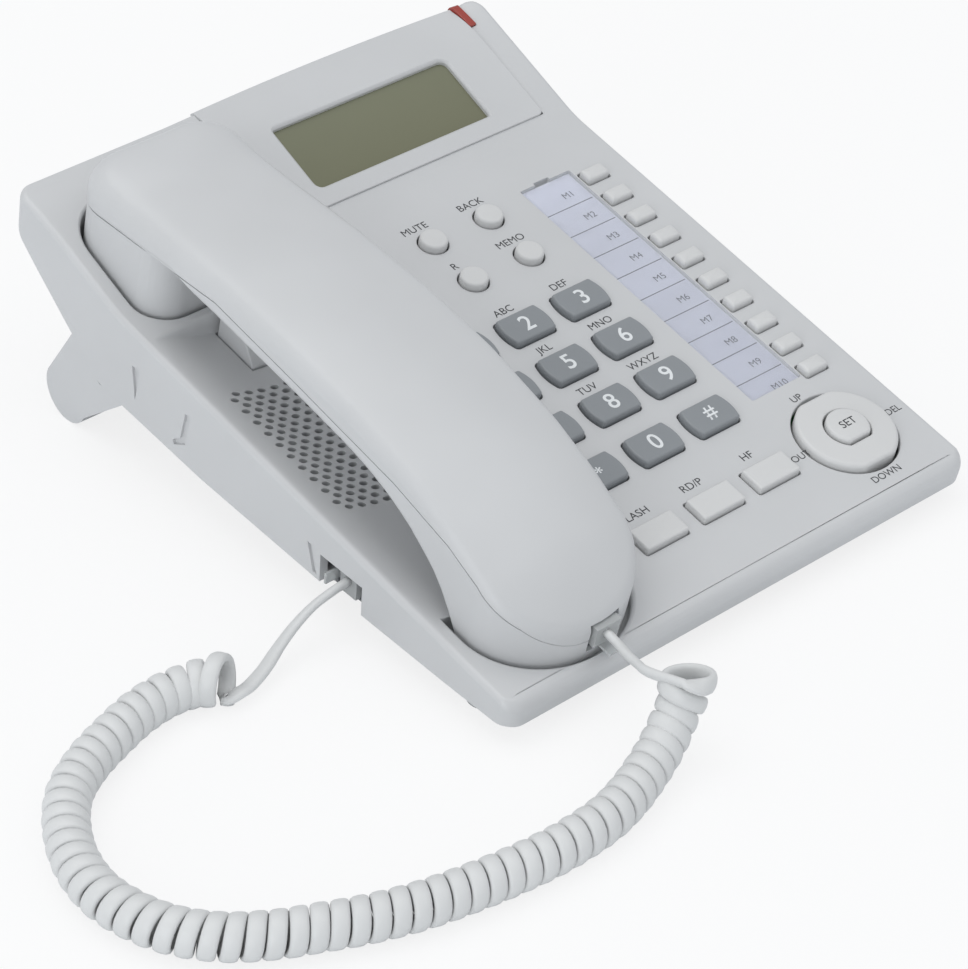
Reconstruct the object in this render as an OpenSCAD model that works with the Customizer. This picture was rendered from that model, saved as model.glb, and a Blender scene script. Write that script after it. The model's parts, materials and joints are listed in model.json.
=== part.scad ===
// Corded desk telephone with a caller display, ten memory keys and a curly handset cord.
// Most pieces are drawn in the face frame: x to the right, y towards the back, z out of the keypad face,
// with the zero point at the middle of the 8 key. on_desk() turns that frame to its angle on the desk.
// The display end of the face is tilted once more, about its bend line; on_display() does that.
// The part's own origin is under the middle of the telephone, on the desk.

/* [Case] */
// Width of the base
case_w = 154; // [152:1:160]
// Distance from the 8 key to the front edge of the base
front_reach = 62; // [62:1:66]
// Distance from the 8 key to the line where the display end starts to rise
bend_y = 88.8; // [88.8:0.2:90]
// Length of the rising display end, along its own slope
display_len = 44.4; // [44:0.2:46]
// Tilt of the display end against the keypad face
display_tilt = 12; // [11:0.5:12]
// Tilt of the keypad face against the desk
desk_tilt = 12.5; // [12:0.25:13]
// Wall thickness of the upper case
wall = 2.4; // [2.3:0.1:2.5]
// Thickness of the lower cover plate
plate_t = 1.8; // [1.6:0.1:1.9]
// Rounding of the vertical corners of the base
corner_r = 4.8; // [4.4:0.2:6]

/* [Keys] */
// Sideways distance between dial keys
dial_dx = 19; // [18.5:0.25:19.25]
// Front to back distance between dial keys
dial_dy = 16.2; // [15.8:0.1:16.4]
// Straight width of a dial key, without its bulging sides
dial_w = 12.7; // [12:0.1:13]
// Depth of a dial key
dial_d = 9.6; // [9:0.1:9.8]
// Radius of the mute, back, R and memo keys
round_r = 3.9; // [3.6:0.1:4.2]
// Width of the flash, redial and handsfree keys
bar_w = 14; // [13:0.5:15]
// Depth of the flash, redial and handsfree keys
bar_d = 7.6; // [7:0.2:8]
// Distance between memory keys
memory_dy = 9.35; // [9.3:0.05:9.45]
// Width of a memory key
memory_w = 7.6; // [7:0.2:8]
// Depth of a memory key
memory_d = 4.6; // [4.2:0.2:5]
// Radius of the direction pad
pad_r = 13.4; // [13:0.1:13.6]
// Radius of the set key in the middle of the direction pad
set_r = 5.9; // [5.6:0.1:6]
// How far the keys stand out of the face
key_rise = 1.8; // [1.4:0.1:2.2]
// Gap around every key
key_gap = 0.3; // [0.25:0.05:0.4]

/* [Display] */
// Width of the window in the display panel
window_w = 58.8; // [57:0.2:60]
// Depth of the window in the display panel
window_d = 20.8; // [20:0.2:21]

/* [Handset] */
// Width of the handset
handset_w = 45; // [44:0.5:46]
// Clearance between the handset and its cradle
cradle_gap = 1.1; // [1:0.1:1.4]
// Wall thickness of the handset shells
shell_t = 1.8; // [1.6:0.1:2]

/* [Cord] */
// Outer diameter of the curly part of the cord
coil_od = 11; // [10.6:0.1:11]
// Mean diameter of the flat cord
cord_d = 3.2; // [3:0.1:3.4]

/* [Hidden] */
$fn = 48;

white = "#dcdee0";
grey = "#8b9092";

// Case outline, derived
half_w = case_w / 2;
front_y = -front_reach;
back_y = bend_y + display_len * cos(display_tilt);
back_z = display_len * sin(display_tilt);
back_foot_y = back_y + 1;
// Underside: distance from the 8 key and depth below the face, front to back
under = [
    [front_y + 1.5, -7], [-40, -10.8], [2, -17.8], [50, -23.8], [92, -26.6], [back_foot_y - 7, -7.2]
];

// Desk plane: the rounded toe of the stand decides how high the face sits
toe_y = 104.4;
toe_z = -40.6;
toe_r = 8.3;
desk_z = -(toe_y * sin(desk_tilt) + toe_z * cos(desk_tilt) - toe_r);
front_desk_y = front_y * cos(desk_tilt) + 3.5 * sin(desk_tilt);
back_desk_y = back_foot_y * cos(desk_tilt) - 1 * sin(desk_tilt);
desk_y = -(front_desk_y + back_desk_y) / 2;

// Keypad layout
dial_bulge = 1;
dial_x = [-10, 9, 28];
dial_y = [2 * dial_dy, dial_dy, 0, -dial_dy];
round_y = [52.6, 68.8];
bar_y = -38.6;
memory_x = 64.1;
memory_y0 = 67.4;
pad_x = 55;
pad_y = -38.4;
pad_flat = pad_r * 0.93;
pad_gap = 0.6;
pad_flange = 1.2;
pad_flange_z = -wall - 1;
pad_flange_t = 1.1;
set_flat = set_r * 0.8;
set_rise = 1.4;
set_gap = 0.4;
set_flange = 1.6;
set_flange_z = -2.6;
rocker_r = 9;
rocker_w = 1.2;
rocker_t = 0.5;
rocker_z = -5.7;
flange = 0.8;
flange_t = 1.2;
flange_z = -wall;
board_top = -6.4;
board_t = 1.6;
board_x0 = -18;
board_side_gap = 2.6;
board_x1 = half_w - wall - board_side_gap;
post_inset = 4;
board_y0 = -44;
board_y1 = 86;
mat_top = board_top + 1;
mat_y1 = 76;
post_r = 2.4;
post_at = [
    [board_x0 + post_inset, -41, board_top - board_t], [board_x1 - post_inset, 0, board_top - board_t],
    [board_x0 + post_inset, 80, board_top - board_t], [board_x1 - post_inset, 80, board_top - board_t],
    [-58, 62, -21.4], [-46, 74, -21.4]
];
hook_board_z = -21.4;

// Handset, its cradle and the gutter between the two cups
handset_x = -48.5;
half_h = handset_w / 2;
ear_y0 = 77.2;
ear_y1 = 119.6;
mouth_y0 = -57.6;
mouth_y1 = -34;
ear_r = 12;
ear_front_r = 9;
ear_ledge_z = 14;
ear_floor = -4.4;
mouth_floor = -2.6;
mouth_ry = 19;
seat_gap = 0.2;
speaker_r = 18;
speaker_rim = 1.4;
basket_h = 4.4;
magnet_r = 10.8;
speaker_h = 7.4;
receiver_y = 98;
receiver_r = 14;
receiver_rim = 4;
receiver_back_r = 9;
receiver_h = 8;
microphone_x = handset_x - 11;
microphone_y = -45;
gutter_w = 51;
gutter_floor = -7;
gutter_r = ((gutter_w / 2) ^ 2 + gutter_floor ^ 2) / (-2 * gutter_floor);
grille_x = -50;
grille_y = 33;
grille_rx = 17;
grille_ry = 22;
grille_dx = 3.4;
grille_dy = 2.3;
grille_n = 10;
grille_hole_r = 0.9;
hook_x = -52;
hook_w = 6;
hook_y0 = 61;
hook_y1 = 75.4;
hook_flange_z = -16.6;
hook_top = 13.6;

// Index strip
card_x = 50.8;
card_y = 27.4;
card_w = 17.4;
card_len = 90;
card_recess = 1.3;
card_t = 0.3;
cover_t = 0.9;

// Display panel, on the display slope
panel_x0 = -20;
panel_x1 = 68;
panel_s0 = 4;
panel_seat = 1.2;
panel_ledge = 2;
panel_raise = 0.6;
panel_bottom = -2.6;
window_x = 23.9;
window_s = 20.2;
window_t = 1.6;
window_lip = 1.5;
module_w = 66;
module_d = 28;
module_t = 4;
lamp_w = 2.4;
lamp_depth = 2;
lamp_s0 = 37.2;

// Line of the lower cover, and the stretch of it that the battery door fills
cover_y0 = front_y + 1.8 + wall;
cover_y1 = back_foot_y - wall - 0.3;
cover_line = concat(under, [[back_foot_y - 2, -2.6]]);
cell_r = 5.2;
cell_len = 44.5;
cell_pitch = 11;
cell_x = 24;
cell_n = 3;
door_w = 49;
door_y0 = 51;
door_y1 = 86;
door_gap = 0.3;
tray_wall = 1.2;
tray_h = 13;

// Screw bosses: x, y, height that the screw reaches
boss_at = [[-21, -52, -3.4], [71, -52, -3.4], [-60, 88, -8], [60, 88, -8]];
boss_r = 3;
screw_r = 1.2;
screw_head_r = 2.4;
foot_x = 68;
foot_y = -45;
foot_r = 5;
leg_w = 8;
peg_r = 1.5;
peg_y = [88, 98];
web_t = 3;
web_y = 104.6;
web_lean = 4.4;
leg_y0 = 82.4;

// Jacks and plugs: the plug lies on its side in the base, latch towards the back
plug_w = 7.65;
plug_h = 6;
plug_len = 12;
plug_gap = 0.1;
latch_t = 0.8;
latch_gap = 1.2;
jack_y = -2.8;
jack_w = 10.5;
jack_h = 9;
jack_len = 12;
jack_recess = 3;
jack_slope = atan2(under[2][1] - under[1][1], under[2][0] - under[1][0]);
line_x = 64;
line_z = -4.6;
line_w = 12;
line_h = 8.4;
line_len = 12;
line_plug_w = 9.8;
line_plug_h = 6.9;
socket_x = handset_x + 2.5;
socket_z = 0.6;
socket_w = 9.4;
socket_h = 8.4;
socket_len = 13;

// Cord routes on the desk: from the base plug to the coil, the coil's middle line, and up to the handset plug
base_route = [
    [-75.5, -35.3, 12.8], [-80, -35.2, 12.2], [-86, -35, 10.4], [-92, -35.5, 7.8], [-98, -37, 5.4],
    [-104, -39.5, 3.6], [-110, -42, 2.4], [-116.8, -43.6, 2]
];
coil_route = [
    [-117, -38.2, 5.6], [-126, -35.6, 5.6], [-136, -35.8, 5.6], [-147, -38, 5.6], [-156.5, -41.8, 5.6],
    [-165, -47.2, 5.6], [-171.5, -54.8, 5.6], [-176.8, -65, 5.6], [-179.2, -76, 5.6], [-178.2, -86, 5.6],
    [-174.5, -96, 5.6], [-167.5, -105, 5.6], [-158.5, -111.6, 5.6], [-150, -116, 5.6], [-141, -120.4, 5.6],
    [-129, -124.8, 5.6], [-114, -128.2, 5.6], [-99, -130.3, 5.6], [-88, -130.6, 5.6], [-79, -129.8, 5.6],
    [-71, -127.8, 5.8], [-64.5, -125.6, 6.4], [-59, -123.6, 7.4], [-54.2, -121.8, 9.2], [-50.6, -120.4, 11.6],
    [-47.6, -119.4, 14.4], [-45.2, -118.8, 17.2]
];
handset_route = [
    [-46, -93.6, 17.9], [-46.2, -97.5, 17.2], [-47.4, -102, 17.4], [-48.8, -106, 18.2], [-50, -110, 19],
    [-50.8, -113, 19.6]
];

// Height of a polyline above y
function lerp_at(points, y, i = 0) =
    i >= len(points) - 2 || y <= points[i + 1][0]
    ? points[i][1] + (points[i + 1][1] - points[i][1]) * (y - points[i][0]) / (points[i + 1][0] - points[i][0])
    : lerp_at(points, y, i + 1);

function cover_z(y) = lerp_at(cover_line, y);

// Half of a rounded end seen from above: an arc from the side to the tip
function arc_points(cx, cy, rx, ry, a0, a1, steps) =
    [for (i = [0 : steps]) let (a = a0 + (a1 - a0) * i / steps) [cx + rx * cos(a), cy + ry * sin(a)]];

module on_desk() {
    translate([0, desk_y, desk_z])
        rotate([desk_tilt, 0, 0])
            children();
}

module on_display() {
    translate([0, bend_y, 0])
        rotate([display_tilt, 0, 0])
            children();
}

// Turns a (y, z) outline into a solid between two x values
module across(x0, x1) {
    translate([x0, 0, 0])
        rotate([90, 0, 90])
            linear_extrude(x1 - x0)
                children();
}

// Moves every edge of a counter-clockwise outline inwards by t
function inset(p, t) = [
    for (i = [0 : len(p) - 1])
        let (
            a = p[(i + len(p) - 1) % len(p)],
            b = p[i],
            c = p[(i + 1) % len(p)],
            m = [a[1] - b[1], b[0] - a[0]] / norm(b - a),
            n = [b[1] - c[1], c[0] - b[0]] / norm(c - b)
        )
        b + t * (m + n) / (1 + m * n)
];

// Side outline of the base: underside, back, display slope, keypad face, front
case_side = concat(under, [
    [back_foot_y - 2, -2.6], [back_foot_y, 1], [back_y, back_z], [bend_y, 0],
    [front_y + 3, 0], [front_y + 1.2, -0.8], [front_y, -3.5]
]);

function rounded_plan(x0, x1, y0, y1, r) = concat(
    arc_points(x1 - r, y1 - r, r, r, 0, 90, 8), arc_points(x0 + r, y1 - r, r, r, 90, 180, 8),
    arc_points(x0 + r, y0 + r, r, r, 180, 270, 8), arc_points(x1 - r, y0 + r, r, r, 270, 360, 8)
);

module case_block(t) {
    intersection() {
        across(-half_w + t, half_w - t)
            polygon(inset(case_side, t));
        translate([0, 0, -60])
            linear_extrude(120)
                polygon(rounded_plan(-half_w + t, half_w - t, front_y + t, back_foot_y - t, corner_r - t));
    }
}

// The room inside the walls, open towards the underside
module case_room() {
    intersection() {
        across(-half_w + wall, half_w - wall)
            polygon([
                [front_y + 1.5 + wall, -60], [back_foot_y - wall, -60], [back_foot_y - wall, 1],
                [back_y - wall, back_z - wall], [bend_y, -wall], [front_y + 3, -wall], [front_y + wall, -3.9]
            ]);
        translate([0, 0, -60])
            linear_extrude(120)
                polygon(rounded_plan(
                    -half_w + wall, half_w - wall, front_y + wall, back_foot_y - wall, corner_r - wall
                ));
    }
}

function mouth_floor_z(y) = mouth_floor - 0.12 * (y - front_y);

// Handset seen from above, grown outwards by g
function handset_plan(g) = concat(
    arc_points(handset_x + half_h - ear_r, ear_y1 - ear_r, ear_r + g, ear_r + g, 0, 90, 8),
    arc_points(handset_x - half_h + ear_r, ear_y1 - ear_r, ear_r + g, ear_r + g, 90, 180, 8),
    arc_points(handset_x, mouth_y0 + mouth_ry, half_h + g, mouth_ry + g, 180, 360, 24)
);

// Plan of the ear block, which sinks into the rear cup, grown by g
function ear_block_plan(g) = concat(
    arc_points(handset_x + half_h - ear_r, ear_y1 - ear_r, ear_r + g, ear_r + g, 0, 90, 8),
    arc_points(handset_x - half_h + ear_r, ear_y1 - ear_r, ear_r + g, ear_r + g, 90, 180, 8),
    let (r = ear_front_r + g) concat(
        arc_points(handset_x - half_h + ear_front_r, ear_y0 + ear_front_r, r, r, 180, 270, 8),
        arc_points(handset_x + half_h - ear_front_r, ear_y0 + ear_front_r, r, r, 270, 360, 8)
    )
);

// The room that the handset lies in, grown by t into the walls around it
module cradle_room(t) {
    translate([0, 0, ear_floor - t])
        linear_extrude(60)
            polygon(ear_block_plan(cradle_gap + t));
    intersection() {
        translate([0, 0, -30])
            linear_extrude(80)
                polygon(handset_plan(cradle_gap + t));
        across(handset_x - 60, handset_x + 60)
            polygon([
                [-70, mouth_floor_z(-70) - t], [mouth_y1 + t, mouth_floor_z(mouth_y1) - t],
                [mouth_y1 + t, 50], [-70, 50]
            ]);
    }
    intersection() {
        translate([handset_x, ear_y0 - cradle_gap - wall, gutter_floor + gutter_r])
            rotate([90, 0, 0])
                cylinder(h = ear_y0 - mouth_y1 + 20, r = gutter_r + t, $fn = 96);
        translate([handset_x - gutter_w / 2 - t, mouth_y1 - 1, gutter_floor - t])
            cube([gutter_w + 2 * t, ear_y0 - mouth_y1, 60]);
    }
}

module barrel(w, d, bulge, g) {
    r = ((d / 2) ^ 2 + bulge ^ 2) / (2 * bulge);
    a = asin(d / 2 / r);
    polygon(inset(concat(
        arc_points(w / 2 - r + bulge, 0, r, r, -a, a, 8),
        arc_points(-w / 2 + r - bulge, 0, r, r, 180 - a, 180 + a, 8)
    ), -g));
}

module box_plan(w, d, g) {
    polygon(rounded_plan(-w / 2 - g, w / 2 + g, -d / 2 - g, d / 2 + g, max(0.6 + g, 0.2)));
}

// A disc with a flat at the front, and one at the back when both is true
module flatted(r, flat, both, g) {
    intersection() {
        circle(r + g, $fn = 64);
        translate([-r - g - 1, -flat - g])
            square([2 * r + 2 * g + 2, (both ? 2 * flat : flat + r) + 2 * g]);
    }
}

// Children: the outline of the key, then the same outline grown for its flange
module key_solid() {
    translate([0, 0, flange_z - flange_t])
        linear_extrude(key_rise - flange_z + flange_t)
            children(0);
    translate([0, 0, flange_z - flange_t])
        linear_extrude(flange_t)
            children(1);
}

module dial_key(column, row) {
    color(grey) on_desk()
        translate([dial_x[column], dial_y[row], 0])
            key_solid() {
                barrel(dial_w, dial_d, dial_bulge, 0);
                barrel(dial_w, dial_d, dial_bulge, flange);
            }
}

module round_key(column, row) {
    color(white) on_desk()
        translate([dial_x[column + 1], round_y[row], 0])
            key_solid() {
                circle(round_r);
                circle(round_r + flange);
            }
}

module bar_key(column) {
    color(white) on_desk()
        translate([dial_x[column], bar_y, 0])
            key_solid() {
                box_plan(bar_w, bar_d, 0);
                box_plan(bar_w, bar_d, flange);
            }
}

module memory_key(number) {
    color(white) on_desk()
        translate([memory_x, memory_y0 - (number - 1) * memory_dy, 0])
            key_solid() {
                box_plan(memory_w, memory_d, 0);
                box_plan(memory_w, memory_d, flange * 0.7);
            }
}

// Every key hole, with the outlines grown by g
module key_outlines(g) {
    for (x = dial_x, y = dial_y)
        translate([x, y])
            barrel(dial_w, dial_d, dial_bulge, g);
    for (i = [1, 2], y = round_y)
        translate([dial_x[i], y])
            circle(round_r + g);
    for (x = dial_x)
        translate([x, bar_y])
            box_plan(bar_w, bar_d, g);
    for (i = [0 : 9])
        translate([memory_x, memory_y0 - i * memory_dy])
            box_plan(memory_w, memory_d, g);
}

module grille_holes() {
    for (i = [-grille_n : grille_n], j = [-grille_n : grille_n]) {
        x = i * grille_dx + (abs(j) % 2) * grille_dx / 2;
        y = j * grille_dy;
        if ((x / grille_rx) ^ 2 + (y / grille_ry) ^ 2 <= 1)
            translate([grille_x + x, grille_y + y, -20])
                cylinder(h = 20, r = grille_hole_r, $fn = 16);
    }
}

module upper_case() {
    color(white) on_desk()
        difference() {
            union() {
                difference() {
                    case_block(0);
                    case_room();
                }
                intersection() {
                    case_block(0.2);
                    cradle_room(wall);
                }
                intersection() {
                    case_block(0.2);
                    for (p = boss_at)
                        translate([p[0], p[1], cover_z(p[1] - boss_r) + plate_t + 0.3])
                            cylinder(h = 60, r = boss_r);
                }
            }
            cradle_room(0);
            translate([0, 0, -wall - 1])
                linear_extrude(30)
                    key_outlines(key_gap);
            translate([pad_x, pad_y, -wall - 1])
                linear_extrude(30)
                    flatted(pad_r, pad_flat, true, pad_gap);
            grille_holes();
            translate([card_x - card_w / 2, card_y - card_len / 2, -card_recess])
                cube([card_w, card_len, 10]);
            translate([card_x - 3, card_y + card_len / 2 - 1, -card_recess])
                cube([6, 2.2, 10]);
            translate([hook_x - hook_w / 2 - 0.5, hook_y0 - 0.5, -30])
                cube([hook_w + 1, hook_y1 - hook_y0 + 1, 40]);
            display_cuts();
            jack_cuts();
            for (p = boss_at)
                translate([p[0], p[1], -40])
                    cylinder(h = 40 + p[2], r = screw_r + 0.05);
        }
}

module display_cuts() {
    on_display() {
        translate([panel_x0 - 0.1, panel_s0 - 0.1, -panel_seat])
            cube([panel_x1 - panel_x0 + 0.2, 60, 20]);
        translate([panel_x0 + panel_ledge - 0.2, panel_s0 + panel_ledge - 0.2, -8])
            cube([panel_x1 - panel_x0 - 2 * panel_ledge + 0.4, display_len - panel_s0 - 2 * panel_ledge + 0.4, 20]);
        translate([panel_x1 + 0.1, lamp_s0, -lamp_depth])
            cube([lamp_w, 60, 20]);
    }
}

module jack_frame() {
    translate([-half_w + jack_recess, jack_y, cover_z(jack_y)])
        rotate([jack_slope, 0, 0])
            children();
}

module jack_cuts() {
    jack_frame() {
        translate([-jack_recess - 1, -jack_w / 2 - 4.5, -6])
            cube([jack_recess + 1, jack_w + 9, 6 + jack_h + 0.8]);
        translate([-1, -jack_w / 2 - 0.1, -6])
            cube([jack_len + 2, jack_w + 0.2, 6 + jack_h + 0.1]);
    }
    translate([line_x - line_w / 2 - 0.1, back_foot_y - line_len - 2, line_z - 10])
        cube([line_w + 0.2, line_len + 10, line_h + 10.1]);
}

module lower_cover() {
    color(white) on_desk()
        difference() {
            union() {
                intersection() {
                    across(-half_w, half_w)
                        polygon(concat(
                            [[cover_y0, cover_z(cover_y0)]],
                            [for (i = [1 : len(under) - 1]) under[i]],
                            [[cover_y1, cover_z(cover_y1)], [cover_y1, cover_z(cover_y1) + plate_t]],
                            [for (i = [len(under) - 1 : -1 : 1]) under[i] + [0, plate_t]],
                            [[cover_y0, cover_z(cover_y0) + plate_t]]
                        ));
                    translate([0, 0, -60])
                        linear_extrude(120)
                            polygon(rounded_plan(
                                -half_w + wall + 0.2, half_w - wall - 0.2, cover_y0, cover_y1, corner_r - wall
                            ));
                }
                across(cell_x - door_w / 2 - tray_wall, cell_x + door_w / 2 + tray_wall)
                    polygon([
                        [door_y0 - tray_wall, cover_z(door_y0)],
                        [door_y1 + tray_wall, cover_z(door_y1)],
                        [door_y1 + tray_wall, cover_z(door_y1) + tray_h + tray_wall],
                        [door_y0 - tray_wall, cover_z(door_y0) + tray_h + tray_wall]
                    ]);
                for (p = post_at)
                    translate([p[0], p[1], cover_z(p[1]) + plate_t / 2])
                        cylinder(h = p[2] - cover_z(p[1]) - plate_t / 2, r = post_r);
            }
            across(cell_x - door_w / 2, cell_x + door_w / 2)
                polygon([
                    [door_y0, cover_z(door_y0) - 9], [door_y1, cover_z(door_y1) - 9],
                    [door_y1, cover_z(door_y1) + tray_h], [door_y0, cover_z(door_y0) + tray_h]
                ]);
            for (p = boss_at)
                translate([p[0], p[1], -60])
                    cylinder(h = 120, r = screw_r + 0.1);
            for (p = boss_at)
                translate([p[0], p[1], cover_z(p[1] + screw_head_r) - 4])
                    cylinder(h = 4.6, r = screw_head_r + 0.3);
            for (side = [-1, 1], y = peg_y)
                translate([side * (half_w - wall - 3), y, -60])
                    cylinder(h = 120, r = peg_r + 0.05);
            jack_cuts();
        }
}

module battery_door() {
    color(white) on_desk()
        across(cell_x - door_w / 2 + door_gap, cell_x + door_w / 2 - door_gap)
            polygon([
                [door_y0 + door_gap, cover_z(door_y0)], [door_y1 - door_gap, cover_z(door_y1)],
                [door_y1 - door_gap, cover_z(door_y1) + plate_t], [door_y0 + door_gap, cover_z(door_y0) + plate_t]
            ]);
}

module batteries() {
    color("#3a6ea5") on_desk()
        for (i = [0 : cell_n - 1]) {
            y = (door_y0 + door_y1) / 2 + (i - (cell_n - 1) / 2) * cell_pitch;
            translate([cell_x - cell_len / 2, y, cover_z(y) + tray_h - cell_r - 0.3])
                rotate([0, 90, 0]) {
                    cylinder(h = cell_len - 1, r = cell_r);
                    cylinder(h = cell_len, r = 1.9);
                }
        }
}

module case_screws() {
    color("#b8babd") on_desk()
        for (p = boss_at) {
            head_z = cover_z(p[1] + screw_head_r) + 0.6;
            translate([p[0], p[1], head_z - 1.4])
                cylinder(h = 1.4, r = screw_head_r);
            translate([p[0], p[1], head_z - 0.1])
                cylinder(h = p[2] - head_z - 0.3, r = screw_r);
        }
}

// The two legs of the stand end in a rounded toe; a web joins them at the back
module desk_stand() {
    color(white) on_desk() {
        for (side = [-1, 1])
            across(side > 0 ? half_w - leg_w : -half_w, side > 0 ? half_w : -half_w + leg_w)
                polygon(stand_side());
        across(-half_w + leg_w - 0.5, half_w - leg_w + 0.5)
            polygon([
                [web_y - web_t, cover_z(web_y - web_t)], [web_y + web_lean - web_t, toe_z + toe_r - 2.3],
                [toe_y + toe_r - 0.3, toe_z + toe_r - 3.8], [toe_y + toe_r - 0.9, toe_z + toe_r - 0.3],
                [web_y, cover_z(web_y)]
            ]);
        for (side = [-1, 1], y = peg_y)
            translate([side * (half_w - wall - 3), y, cover_z(y) - 2])
                cylinder(h = 2 + plate_t - 0.1, r = peg_r);
    }
}

function stand_side() = concat(
    [[leg_y0, cover_z(leg_y0)]],
    arc_points(toe_y, toe_z, toe_r, toe_r, 196, 376, 20),
    [[web_y, cover_z(web_y)], under[4]]
);

module rubber_feet() {
    color("#55585b")
        for (side = [-1, 1])
            difference() {
                translate([
                    side * foot_x,
                    desk_y + foot_y * cos(desk_tilt) - cover_z(foot_y) * sin(desk_tilt), 0
                ])
                    cylinder(h = 12, r = foot_r);
                on_desk()
                    across(-half_w, half_w)
                        polygon(concat(cover_line, [[back_y, 80], [cover_y0 - 30, 80], [cover_y0 - 30, -5]]));
            }
}

module display_panel() {
    color(white) on_desk() on_display()
        difference() {
            union() {
                translate([panel_x0, panel_s0, -panel_seat])
                    cube([panel_x1 - panel_x0, display_len - panel_s0, panel_seat + panel_raise]);
                translate([panel_x0 + panel_ledge, panel_s0 + panel_ledge, panel_bottom])
                    cube([
                        panel_x1 - panel_x0 - 2 * panel_ledge,
                        display_len - panel_s0 - 2 * panel_ledge,
                        -panel_bottom
                    ]);
            }
            translate([window_x - window_w / 2, window_s - window_d / 2, -10])
                cube([window_w, window_d, 20]);
            translate([
                window_x - window_w / 2 - window_lip, window_s - window_d / 2 - window_lip, panel_bottom - 1
            ])
                cube([window_w + 2 * window_lip, window_d + 2 * window_lip, 1 + window_t]);
        }
}

module display_window() {
    color("#7b7c64", 0.6) on_desk() on_display()
        translate([
            window_x - window_w / 2 - window_lip + 0.1, window_s - window_d / 2 - window_lip + 0.1, panel_bottom
        ])
            cube([window_w + 2 * window_lip - 0.2, window_d + 2 * window_lip - 0.2, window_t]);
}

module display_module() {
    color("#6f7059") on_desk() on_display()
        translate([window_x - module_w / 2, window_s - module_d / 2, panel_bottom - module_t])
            cube([module_w, module_d, module_t]);
}

module ring_lamp() {
    color("#c23b2e") on_desk()
        difference() {
            on_display()
                translate([panel_x1 + 0.1, lamp_s0, -lamp_depth])
                    cube([lamp_w, 12, lamp_depth + panel_raise]);
            across(0, half_w)
                polygon([[back_y, 40], [back_y, back_z], [back_foot_y, 1], [back_foot_y, -9], [160, -9], [160, 40]]);
        }
}

module index_card() {
    color("#e9edf6") on_desk()
        translate([card_x - card_w / 2 + 0.2, card_y - card_len / 2 + 0.2, -card_recess])
            cube([card_w - 0.4, card_len - 0.4, card_t]);
}

module index_cover() {
    color("#eef2f8", 0.4) on_desk()
        translate([card_x - card_w / 2 + 0.15, card_y - card_len / 2 + 0.15, -card_recess + card_t])
            cube([card_w - 0.3, card_len - 0.3, cover_t]);
}

module key_mat() {
    color("#6e7274") on_desk() {
        difference() {
            translate([board_x0 - 0.5, board_y0 - 0.8, board_top])
                cube([board_x1 - board_x0, mat_y1 - board_y0 + 0.8, mat_top - board_top]);
            translate([pad_x, pad_y, board_top - 1])
                cylinder(h = 4, r = pad_r + 2);
        }
        translate([0, 0, mat_top - 0.2])
            linear_extrude(0.7)
                key_outlines(-1);
    }
}

module main_board() {
    color("#2f6b3f") on_desk() {
        translate([board_x0, board_y0, board_top - board_t])
            cube([board_x1 - board_x0, board_y1 - board_y0, board_t]);
        translate([hook_x - 8, hook_y0 - 2, hook_board_z])
            cube([16, 19, board_t]);
        translate([hook_x - 4, hook_y0 + 2, hook_board_z + board_t])
            cube([8, 10, hook_flange_z - 1.2 - hook_board_z - board_t]);
    }
}

module loudspeaker() {
    color("#3c3f42") on_desk()
        translate([handset_x, grille_y, gutter_floor - wall - 0.2])
            rotate_extrude($fn = 64)
                polygon([
                    [0, 0], [speaker_r, 0], [speaker_r, -speaker_rim], [magnet_r, -basket_h],
                    [magnet_r, -speaker_h], [0, -speaker_h]
                ]);
}

module hook_lever() {
    color(white) on_desk() {
        across(hook_x - hook_w / 2, hook_x + hook_w / 2)
            polygon([
                [hook_y0, hook_flange_z], [hook_y1, hook_flange_z], [hook_y1, hook_top],
                [hook_y1 - 2, hook_top], [hook_y1 - 2.6, hook_top - 4.2], [hook_y0, gutter_floor + 1]
            ]);
        translate([hook_x - hook_w / 2 - 1.5, hook_y0 - 1.5, hook_flange_z - 1.2])
            cube([hook_w + 3, hook_y1 - hook_y0 + 3, 1.2]);
    }
}

module modular_jacks() {
    color("#2b2d30") on_desk() {
        jack_frame()
            difference() {
                translate([0, -jack_w / 2, 0.1])
                    cube([jack_len, jack_w, jack_h - 0.1]);
                translate([-1, -plug_h / 2 - plug_gap - 1.1, 0.7])
                    cube([jack_len, plug_h + 2 * plug_gap + latch_t + latch_gap, plug_w + 2 * plug_gap]);
            }
        difference() {
            translate([line_x - line_w / 2, back_foot_y - line_len - 1.6, line_z])
                cube([line_w, line_len, line_h]);
            translate([
                line_x - line_plug_w / 2, back_foot_y - line_len - 0.4, line_z + (line_h - line_plug_h) / 2
            ])
                cube([line_plug_w, line_len, line_plug_h]);
        }
    }
}

// Side outline of the handset: mouth end, hollow of the grip, ear end, then back along the crown
handset_side = [
    [mouth_y0, mouth_floor_z(mouth_y0) + seat_gap], [-38, mouth_floor_z(-38) + seat_gap],
    [-32, 1], [-20, 10], [-6, 16.5], [11, 18.5], [45, 19], [68, 17], [ear_y0 - 3, ear_ledge_z + 0.5],
    [ear_y0, ear_ledge_z], [ear_y0, ear_floor + seat_gap], [ear_y1, ear_floor + seat_gap],
    [ear_y1, 13], [118.4, 20], [115, 24.6], [108, 27], [95, 28], [80, 29.6], [60, 32], [35, 33.6],
    [11, 33.4], [-10, 30.5], [-27, 25.5], [-40, 20.5], [-50, 15.5], [-55.5, 11], [mouth_y0, 6]
];
parting = [
    [-70, 4], [-57, 4.6], [-50, 10.5], [-38, 16.5], [-27, 20], [-7, 22.6], [30, 23.6],
    [61, 24], [77, 21], [93, 18], [109, 15.2], [130, 12]
];

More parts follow.
